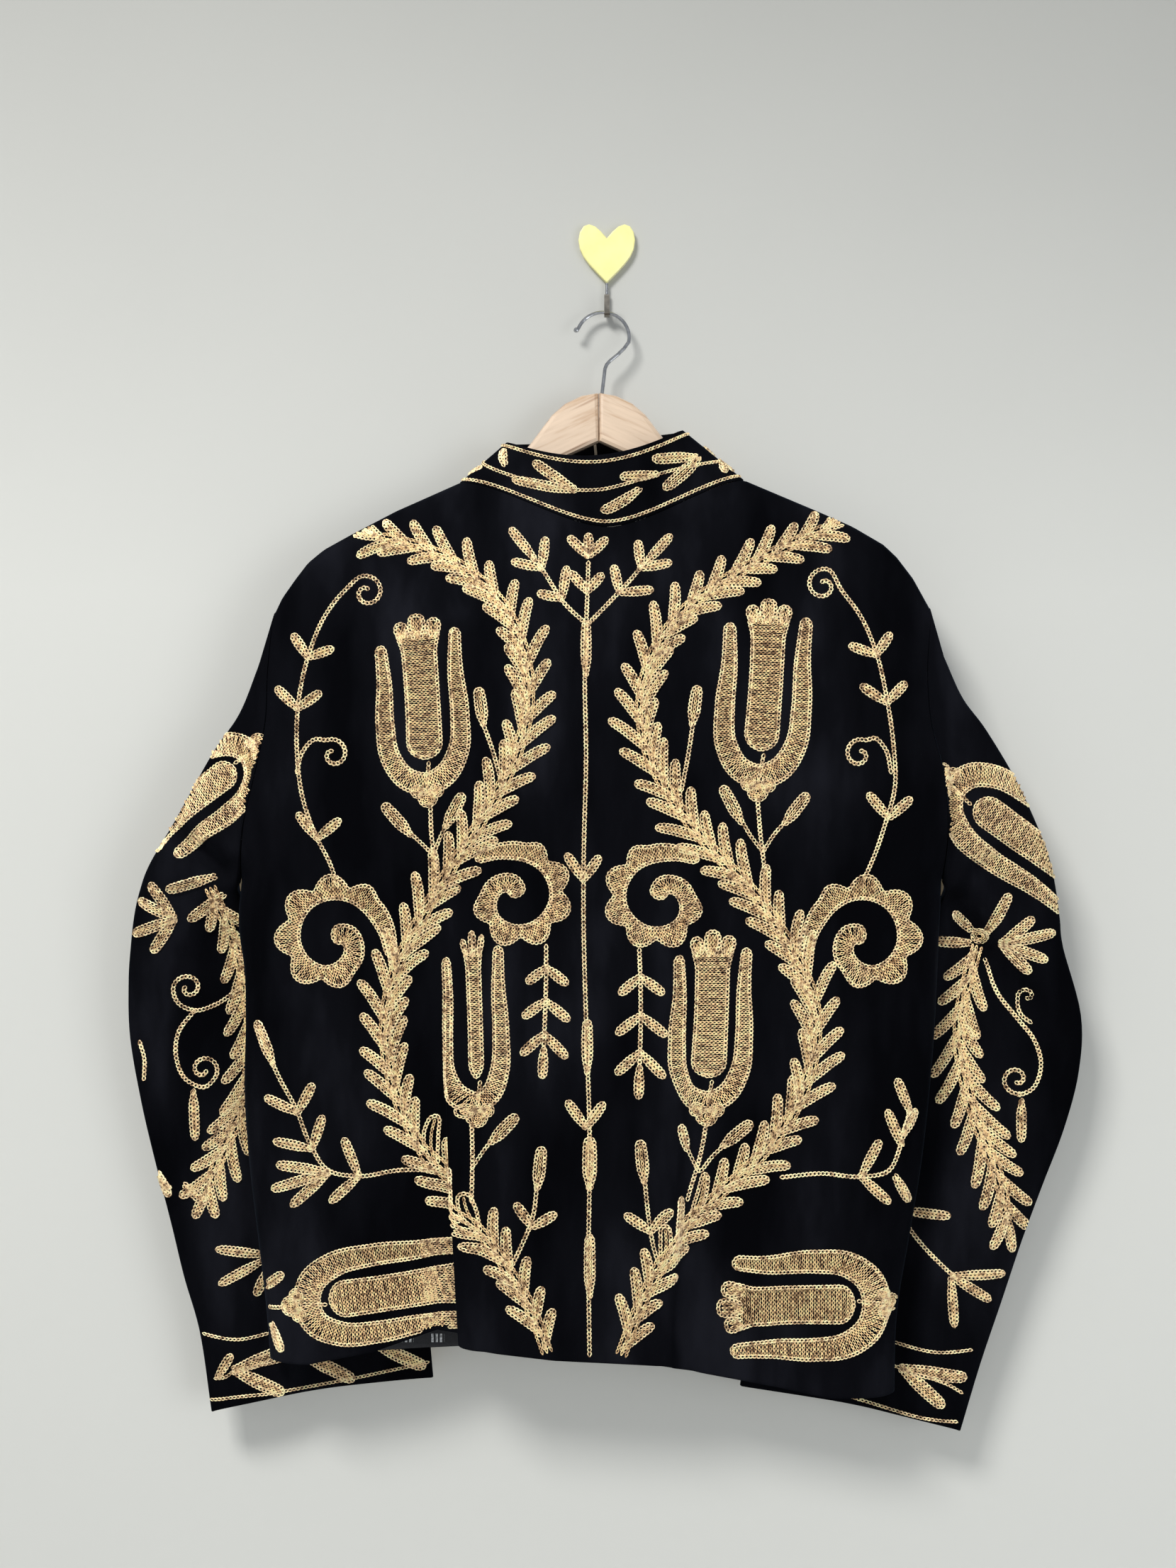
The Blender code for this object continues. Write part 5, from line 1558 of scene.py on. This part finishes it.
def wood_material(name, settings, slope):
    """Pale wood whose grain runs along an arm that slopes by an angle."""
    nodes = Nodes(name)
    colour = tuple(settings.wood_colour)
    blotches = nodes.noise(22.0, 4.0, nodes.stretched((0.7, 2.0, 2.6), slope))
    fine = nodes.noise(150.0, 5.0, nodes.stretched((0.10, 2.0, 2.2), slope))
    streaks = nodes.noise(70.0, 2.0, nodes.stretched((0.09, 1.5, 2.6), slope))
    dark = nodes.ramp(streaks, ((0.56, (0.0,) * 3), (0.68, (1.0,) * 3)))
    blotches = nodes.math("MULTIPLY", blotches, 0.5)
    both = nodes.math("ADD", blotches, nodes.math("MULTIPLY", fine, 0.5))
    deep = tuple(channel * share for channel, share in zip(colour, WOOD_DEEP))
    pale = nodes.ramp(both, ((0.34, deep), (0.48, colour), (0.66, shade(colour, 1.14))))
    nodes.set({
        "Base Color": nodes.mix(nodes.math("MULTIPLY", dark, 0.70), pale, STREAK_COLOUR),
        "Roughness": nodes.math("ADD", nodes.math("MULTIPLY", fine, 0.15), 0.36),
        "Coat Weight": 0.25,
        "Coat Roughness": 0.30,
    })
    nodes.bump(fine, 0.15, 0.0005)
    return nodes.material


def metal_material(name, colour, roughness):
    nodes = Nodes(name)
    worn = nodes.noise(300.0, 3.0)
    nodes.set({
        "Base Color": nodes.ramp(worn, ((0.35, shade(colour, 0.82)), (0.65, colour))),
        "Metallic": 1.0,
        "Roughness": nodes.math("ADD", nodes.math("MULTIPLY", worn, 0.12), roughness),
    })
    nodes.bump(worn, 0.08, 0.0002)
    return nodes.material


def pad_material(name, settings):
    nodes = Nodes(name)
    colour = tuple(settings.pad_colour)
    cloudy = nodes.noise(70.0, 3.0)
    nodes.set({
        "Base Color": nodes.ramp(cloudy, ((0.30, shade(colour, 0.90)), (0.70, shade(colour, 1.06)))),
        "Roughness": 0.30,
        "Coat Weight": 0.4,
        "Coat Roughness": 0.15,
        "Subsurface Weight": 0.08,
        "Subsurface Radius": (0.004, 0.004, 0.002),
    })
    nodes.bump(nodes.noise(220.0, 2.0), 0.06, 0.0004)
    return nodes.material


def wall_material(name, colour):
    """Pale matt paint with painted shade: darker towards the ceiling and lighter towards the floor,
    with a little random unevenness.
    """
    nodes = Nodes(name)
    rise = nodes.math("MULTIPLY_ADD", nodes.axes()[1], 0.5, 0.70)
    uneven = nodes.math("MULTIPLY_ADD", nodes.noise(3.0), 0.04, -0.02)
    height = nodes.math("ADD", rise, uneven)
    nodes.set({
        # Painted shade and light: the ramp darkens the wall with height
        "Base Color": nodes.ramp(height, (
            (0.05, shade(colour, 1.14)), (0.30, shade(colour, 1.13)),
            (0.55, shade(colour, 1.04)), (0.84, shade(colour, 0.60)),
        )),
        "Roughness": 0.9,
        "Specular IOR Level": 0.2,
    })
    nodes.bump(nodes.noise(240.0, 3.0), 0.05, 0.0005)
    return nodes.material


def plain_material(name, low, high, scale):
    nodes = Nodes(name)
    nodes.set({
        "Base Color": nodes.ramp(nodes.noise(scale, 4.0), ((0.3, low), (0.7, high))),
        "Roughness": 0.9,
        "Specular IOR Level": 0.2,
    })
    return nodes.material


def finish(name, make, *values):
    """The finish of that name, made from the values when it is first asked for."""
    return bpy.data.materials.get(name) or make(name, *values)


def cloth_finishes(settings):
    return [
        finish("velvet_pile", velvet_material, settings),
        finish("lining_weave", lining_material, settings),
    ]


def thread_finishes(settings):
    return [
        finish("thread_outline", thread_material, settings.thread_light),
        finish("thread_fill", thread_material, settings.thread_colour),
    ]


CHROME_COLOUR, CHROME_ROUGHNESS = (0.40, 0.41, 0.43), 0.12
STEEL_COLOUR, STEEL_ROUGHNESS = (0.26, 0.24, 0.21), 0.30


def chrome_finish():
    return finish("chrome_plate", metal_material, CHROME_COLOUR, CHROME_ROUGHNESS)


class JacketSettings(bpy.types.PropertyGroup):
    """Colours of the jacket, of what holds it and of the wall, and the velvet's sheen."""

    velvet_colour: FloatVectorProperty(
        name="Velvet", description="Ground colour of the pile", subtype="COLOR",
        default=(0.0036, 0.0038, 0.0052), min=0.0, max=1.0,
    )
    velvet_sheen: FloatProperty(
        name="Sheen", description="How much the pile's tips shine", subtype="FACTOR",
        default=0.085, min=0.0, max=1.0,
    )
    velvet_sheen_colour: FloatVectorProperty(
        name="Sheen colour", description="Colour of the pile's tips", subtype="COLOR",
        default=(0.30, 0.42, 0.60), min=0.0, max=1.0,
    )
    thread_colour: FloatVectorProperty(
        name="Thread", description="Colour of the filling rows", subtype="COLOR",
        default=(0.96, 0.67, 0.35), min=0.0, max=1.0,
    )
    thread_light: FloatVectorProperty(
        name="Light thread", description="Colour of the outline rows", subtype="COLOR",
        default=(0.98, 0.74, 0.43), min=0.0, max=1.0,
    )
    lining_colour: FloatVectorProperty(
        name="Lining", description="Ground colour of the lining", subtype="COLOR",
        default=(0.010, 0.011, 0.014), min=0.0, max=1.0,
    )
    wood_colour: FloatVectorProperty(
        name="Wood", description="Colour of the hanger's arms", subtype="COLOR",
        default=(0.52, 0.395, 0.285), min=0.0, max=1.0,
    )
    pad_colour: FloatVectorProperty(
        name="Pad", description="Colour of the wall hook's pad", subtype="COLOR",
        default=(0.76, 0.73, 0.31), min=0.0, max=1.0,
    )
    wall_colour: FloatVectorProperty(
        name="Wall", description="Colour of the wall behind", subtype="COLOR",
        default=(0.505, 0.51, 0.487), min=0.0, max=1.0,
    )


def settings_of(context):
    return context.scene.jacket_settings


def held_cloth(piece, node):
    """Attaches a piece of cloth to the body and hides the solid it stands in for."""
    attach(piece, BODY)
    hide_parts(node)


def cloth_piece(
    name, point_at, stations, heights, finishes, sign,
    thickness=WALL, wrap=False, inset=0.0, side_of_middle=0, normal_at=None,
):
    """A wall of cloth on a surface; side_of_middle keeps it to one side of the body's middle."""
    u, v = np.meshgrid(stations, heights, indexing="ij")
    points = drawn_in(point_at(u, v), SEAM_GAP, wrap)
    normal = normal_at(u, v) if normal_at else outward(point_at, u, v) * sign
    outer = points - normal * inset
    inner = outer - normal * thickness
    if side_of_middle:
        for grid in (outer, inner):
            middle = along_table(DEPTHS, grid[..., 2], 1) + side_of_middle * SEAM_GAP / 2
            beyond = (grid[..., 1] - middle) * side_of_middle
            grid[..., 1] = np.where(beyond < 0, middle, grid[..., 1])
    return shell(name, outer, inner, finishes, wrap)


ROWS_DOWN = spaced(
    (0.0, SHOULDER_TURN, 8), (SHOULDER_TURN, UNDERARM_ROW, 40),
    (UNDERARM_ROW, 0.985, 66), (0.985, 1.0, 4),
)


class JACKET_OT_back(bpy.types.Operator):
    """Builds the velvet back with its long folds"""

    bl_idname = "jacket.back"
    bl_label = "Back"

    def execute(self, context):
        settings = settings_of(context)
        stations = spaced(
            (-1.0, 0.0, 16), (0.0, 0.214, 24), (0.214, 0.330, 44), (0.330, 0.618, 33),
            (0.618, 0.706, 22), (0.706, 1.0, 31), (1.0, 2.0, 16),
        )
        piece = cloth_piece(
            "velvet_back", back_point, stations, ROWS_DOWN,
            cloth_finishes(settings), -1, side_of_middle=-1,
        )
        held_cloth(piece, "back")
        return {"FINISHED"}


class JACKET_OT_fronts(bpy.types.Operator):
    """Builds the two fronts, which hang towards the wall"""

    bl_idname = "jacket.fronts"
    bl_label = "Fronts"

    def execute(self, context):
        settings = settings_of(context)
        for side, stations in (
            ("left", spaced((-1.0, 0.0, 14), (0.0, FRONT_EDGE_LEFT, 50))),
            ("right", spaced((FRONT_EDGE_RIGHT, 1.0, 48), (1.0, 2.0, 14))),
        ):
            piece = cloth_piece(
                f"velvet_front_{side}", front_point, stations, ROWS_DOWN,
                cloth_finishes(settings), 1, side_of_middle=1,
            )
            held_cloth(piece, f"front_{side}")
        return {"FINISHED"}


class JACKET_OT_collar(bpy.types.Operator):
    """Builds the stand collar"""

    bl_idname = "jacket.collar"
    bl_label = "Collar"

    def execute(self, context):
        settings = settings_of(context)
        stations = spaced((-COLLAR_FRONT_END, -0.5, 36), (-0.5, 0.5, 84), (0.5, COLLAR_FRONT_END, 36))
        velvet = cloth_finishes(settings)[0]
        piece = cloth_piece(
            "velvet_collar", collar_point, stations, spaced((COLLAR_LIFT, 1.0, 16)),
            [velvet, velvet], 1, COLLAR_WALL,
        )
        held_cloth(piece, "collar")
        return {"FINISHED"}


SLEEVE_TURNS = 72
SLEEVE_RUN = 0.80  # roughly the way from the armhole's top to the cuff
# Each sleeve: its rows, the station of the body's edge it hangs from, its creases
SLEEVES = (
    ("left", LEFT_SLEEVE, -1, LEFT_SLEEVE_CREASES),
    ("right", RIGHT_SLEEVE, 2, RIGHT_SLEEVE_CREASES),
)


class JACKET_OT_sleeves(bpy.types.Operator):
    """Builds the two sleeves, which hang beside and behind the body"""

    bl_idname = "jacket.sleeves"
    bl_label = "Sleeves"

    def execute(self, context):
        settings = settings_of(context)
        angles = np.linspace(0.0, 2 * math.pi, SLEEVE_TURNS, endpoint=False)
        along = spaced((0.0, 0.25, 34), (0.25, 0.56, 44), (0.56, 1.0, 46))
        for side, rows, edge, creases in SLEEVES:
            def point_at(angle, w, rows=rows, edge=edge, creases=creases):
                return sleeve_point(angle, w, rows, edge, creases)

            def normal_at(angle, w, rows=rows):
                return sleeve_normal(angle, w, rows)

            piece = cloth_piece(
                f"velvet_sleeve_{side}", point_at, angles, along, cloth_finishes(settings), 1,
                wrap=True, normal_at=normal_at,
            )
            held_cloth(piece, f"sleeve_{side}")
            lining = cloth_finishes(settings)[1]
            cuff = spaced((1.0 - CUFF_LINING_HEIGHT / SLEEVE_RUN, 0.9985, 6))
            facing = cloth_piece(
                f"lining_cuff_{side}", point_at, angles, cuff, [lining, lining], 1,
                LINING_WALL, wrap=True, inset=WALL + SEAM_GAP, normal_at=normal_at,
            )
            held_cloth(facing, f"cuff_lining_{side}")
        return {"FINISHED"}


class JACKET_OT_hem_lining(bpy.types.Operator):
    """Builds the lining that shows under the left of the back's hem"""

    bl_idname = "jacket.hem_lining"
    bl_label = "Hem lining"

    def execute(self, context):
        lining = cloth_finishes(settings_of(context))[1]
        piece = cloth_piece(
            "lining_hem_left", front_point,
            spaced((-0.30, 0.0, 6), (0.0, FRONT_EDGE_LEFT - 0.02, 40)),
            spaced((1.0 - HEM_LINING_HEIGHT / FRONT_DROP, 0.999, 8)),
            [lining, lining], 1, LINING_WALL, inset=WALL + SEAM_GAP,
        )
        held_cloth(piece, "hem_lining_left")
        return {"FINISHED"}


class JACKET_OT_back_embroidery(bpy.types.Operator):
    """Works the chain-stitch motifs of the back"""

    bl_idname = "jacket.back_embroidery"
    bl_label = "Back embroidery"

    def execute(self, context):
        threads = thread_finishes(settings_of(context))
        for name, rows in (
            ("embroidery_back_ferns", back_fern_rows()),
            ("embroidery_back_tulips", back_tulip_rows()),
            ("embroidery_back_curls", back_curl_rows()),
            ("embroidery_back_vines", back_vine_rows()),
        ):
            stitched(name, rows, back_surface, threads)
        return {"FINISHED"}


class JACKET_OT_sleeve_embroidery(bpy.types.Operator):
    """Works the chain-stitch motifs of the sleeves, on both of their sides"""

    bl_idname = "jacket.sleeve_embroidery"
    bl_label = "Sleeve embroidery"

    def execute(self, context):
        threads = thread_finishes(settings_of(context))
        for side, shown, hidden in (
            ("left", left_sleeve_rows(), left_sleeve_inner_rows()),
            ("right", right_sleeve_rows(), right_sleeve_inner_rows()),
        ):
            piece = bpy.data.objects[f"velvet_sleeve_{side}"]
            stitched(f"embroidery_sleeve_{side}", shown, ray_surface(piece, False), threads)
            inner_side = ray_surface(piece, True)
            name = f"embroidery_sleeve_{side}_front"
            stitched(name, hidden, inner_side, threads, FILL_STRAND)
        return {"FINISHED"}


# Each front: its side, its open edge and its outer edge in millimetres
FRONT_LIMITS = (("left", -1, -16.0, -278.0), ("right", 1, -8.0, 246.0))


class JACKET_OT_front_embroidery(bpy.types.Operator):
    """Works the chain-stitch motifs of the fronts"""

    bl_idname = "jacket.front_embroidery"
    bl_label = "Front embroidery"

    def execute(self, context):
        threads = thread_finishes(settings_of(context))
        for name, side, edge, outer in FRONT_LIMITS:
            piece = bpy.data.objects[f"velvet_front_{name}"]
            rows = front_rows(side, edge, outer)
            stitched(f"embroidery_front_{name}", rows, ray_surface(piece, True), threads, FILL_STRAND)
        return {"FINISHED"}


class JACKET_OT_collar_embroidery(bpy.types.Operator):
    """Works the vine and borders of the collar"""

    bl_idname = "jacket.collar_embroidery"
    bl_label = "Collar embroidery"

    def execute(self, context):
        threads = thread_finishes(settings_of(context))
        stitched("embroidery_collar", collar_rows(), collar_surface, threads)
        return {"FINISHED"}


WOOD_SLOPE = math.radians(26.0)


def refinish(node, material):
    """Gives a carried-over solid its material."""
    held = frame["nodes"][node]
    if not held.material_slots:
        held.data.materials.append(material)
    for slot in held.material_slots:
        slot.material = material


class JACKET_OT_hanger(bpy.types.Operator):
    """Finishes the wooden hanger and its chrome hook"""

    bl_idname = "jacket.hanger"
    bl_label = "Hanger"

    def execute(self, context):
        settings = settings_of(context)
        refinish("hanger_arm_left", wood_material("wood_left", settings, WOOD_SLOPE))
        refinish("hanger_arm_right", wood_material("wood_right", settings, -WOOD_SLOPE))
        refinish("hanger_hook", chrome_finish())
        return {"FINISHED"}


class JACKET_OT_wall_hook(bpy.types.Operator):
    """Finishes the wall hook: its heart-shaped pad, pin and bent strip"""

    bl_idname = "jacket.wall_hook"
    bl_label = "Wall hook"

    def execute(self, context):
        settings = settings_of(context)
        steel = finish("steel_strip", metal_material, STEEL_COLOUR, STEEL_ROUGHNESS)
        refinish("wall_hook_pad", finish("pad_plastic", pad_material, settings))
        refinish("wall_hook_pin", chrome_finish())
        refinish("wall_hook_strip", steel)
        return {"FINISHED"}


CAMERA_PLACE = (-0.0164, -1.55, -0.4625)
CAMERA_LENS = 40.69
SENSOR_WIDTH = 36.0
CLIP_START, CLIP_END = 0.05, 30.0
WALL_HALF = 4.0
WALL_PLANE = 0.0005
FLOOR_HEIGHT = -1.75
WORLD_COLOUR = (0.80, 0.83, 0.86, 1.0)
WORLD_STRENGTH = 0.58
# Soft lights: name, place, aim, size, watts, colour
LIGHTS = (
    ("key", (-1.1, -2.0, 1.4), (0.0, 0.0, -0.55), (0.9, 0.7), 82.0, (1.0, 0.985, 0.96)),
    ("fill", (1.9, -2.4, -0.8), (0.0, 0.0, -0.5), (1.4, 1.8), 25.0, (0.96, 0.98, 1.0)),
    ("behind", (0.6, 2.4, 0.5), (0.0, 0.0, -0.5), (1.8, 1.4), 48.0, (1.0, 1.0, 1.0)),
)


def square(left, right, low, high):
    return ((left, low), (right, low), (right, high), (left, high))


def flat_sheet(name, corners, material):
    mesh = bpy.data.meshes.new(name)
    mesh.from_pydata(corners, [], [(0, 1, 2, 3)])
    mesh.materials.append(material)
    sheet = bpy.data.objects.new(name, mesh)
    bpy.context.scene.collection.objects.link(sheet)
    return sheet


def area_light(name, place, aim, size, power, colour):
    lamp = bpy.data.lights.new(name, "AREA")
    lamp.shape = "RECTANGLE"
    lamp.size, lamp.size_y = size
    lamp.energy = power
    lamp.color = colour
    light = bpy.data.objects.new(name, lamp)
    light.location = place
    light.rotation_euler = (Vector(aim) - Vector(place)).to_track_quat("-Z", "Y").to_euler()
    bpy.context.scene.collection.objects.link(light)
    return light


class JACKET_OT_stage(bpy.types.Operator):
    """Sets the wall, floor, lights and camera"""

    bl_idname = "jacket.stage"
    bl_label = "Stage"

    def execute(self, context):
        settings = settings_of(context)
        paint = wall_material("wall_paint_and_painted_shade", tuple(settings.wall_colour))
        seen_from_behind(paint)
        corners = []
        for x, z in square(-WALL_HALF, WALL_HALF, FLOOR_HEIGHT, WALL_HALF / 2):
            corners.append((x, WALL_PLANE, z))
        wall = flat_sheet("stage_wall", corners, paint)
        wall.visible_shadow = False
        floor_paint = plain_material("floor_paint", (0.56, 0.56, 0.55), (0.60, 0.60, 0.59), 5.0)
        corners = []
        for x, y in square(-WALL_HALF, WALL_HALF, -WALL_HALF, WALL_HALF):
            corners.append((x, y, FLOOR_HEIGHT))
        flat_sheet("stage_floor", corners, floor_paint)

        world = bpy.data.worlds.new("studio")
        world.use_nodes = True
        background = world.node_tree.nodes["Background"]
        background.inputs["Color"].default_value = WORLD_COLOUR
        background.inputs["Strength"].default_value = WORLD_STRENGTH
        context.scene.world = world
        for light in LIGHTS:
            area_light(*light)

        lens = bpy.data.cameras.new("camera")
        lens.lens = CAMERA_LENS
        lens.sensor_width = SENSOR_WIDTH
        lens.clip_start, lens.clip_end = CLIP_START, CLIP_END
        camera = bpy.data.objects.new("camera", lens)
        camera.location = CAMERA_PLACE
        camera.rotation_euler = (math.pi / 2, 0.0, 0.0)
        context.scene.collection.objects.link(camera)
        context.scene.camera = camera
        context.scene.view_settings.view_transform = "Standard"
        return {"FINISHED"}


def seen_from_behind(material):
    """Lets the wall's rear face through, so that the side towards the wall can be looked at."""
    tree = material.node_tree
    output = next(node for node in tree.nodes if node.type == "OUTPUT_MATERIAL")
    shader = tree.nodes["Principled BSDF"]
    facing = tree.nodes.new("ShaderNodeNewGeometry").outputs["Backfacing"]
    clear = tree.nodes.new("ShaderNodeBsdfTransparent")
    either = tree.nodes.new("ShaderNodeMixShader")
    tree.links.new(facing, either.inputs["Fac"])
    tree.links.new(shader.outputs["BSDF"], either.inputs[1])
    tree.links.new(clear.outputs["BSDF"], either.inputs[2])
    tree.links.new(either.outputs["Shader"], output.inputs["Surface"])


OPERATORS = (
    JACKET_OT_back,
    JACKET_OT_fronts,
    JACKET_OT_collar,
    JACKET_OT_sleeves,
    JACKET_OT_hem_lining,
    JACKET_OT_back_embroidery,
    JACKET_OT_sleeve_embroidery,
    JACKET_OT_front_embroidery,
    JACKET_OT_collar_embroidery,
    JACKET_OT_hanger,
    JACKET_OT_wall_hook,
    JACKET_OT_stage,
)


class JACKET_PT_panel(bpy.types.Panel):
    """Lists the jacket's pieces and settings"""

    bl_idname = "JACKET_PT_panel"
    bl_label = "Jacket"
    bl_space_type = "VIEW_3D"
    bl_region_type = "UI"
    bl_category = "Jacket"

    def draw(self, context):
        layout = self.layout
        settings = settings_of(context)
        for name in JacketSettings.__annotations__:
            layout.prop(settings, name)
        for operator in OPERATORS:
            layout.operator(operator.bl_idname)


def register():
    for item in (JacketSettings, *OPERATORS, JACKET_PT_panel):
        bpy.utils.register_class(item)
    bpy.types.Scene.jacket_settings = PointerProperty(type=JacketSettings)


def unregister():
    del bpy.types.Scene.jacket_settings
    for item in reversed((JacketSettings, *OPERATORS, JACKET_PT_panel)):
        bpy.utils.unregister_class(item)


def main():
    register()
    for operator in OPERATORS:
        group, name = operator.bl_idname.split(".")
        getattr(getattr(bpy.ops, group), name)()


if __name__ == "__main__":
    main()
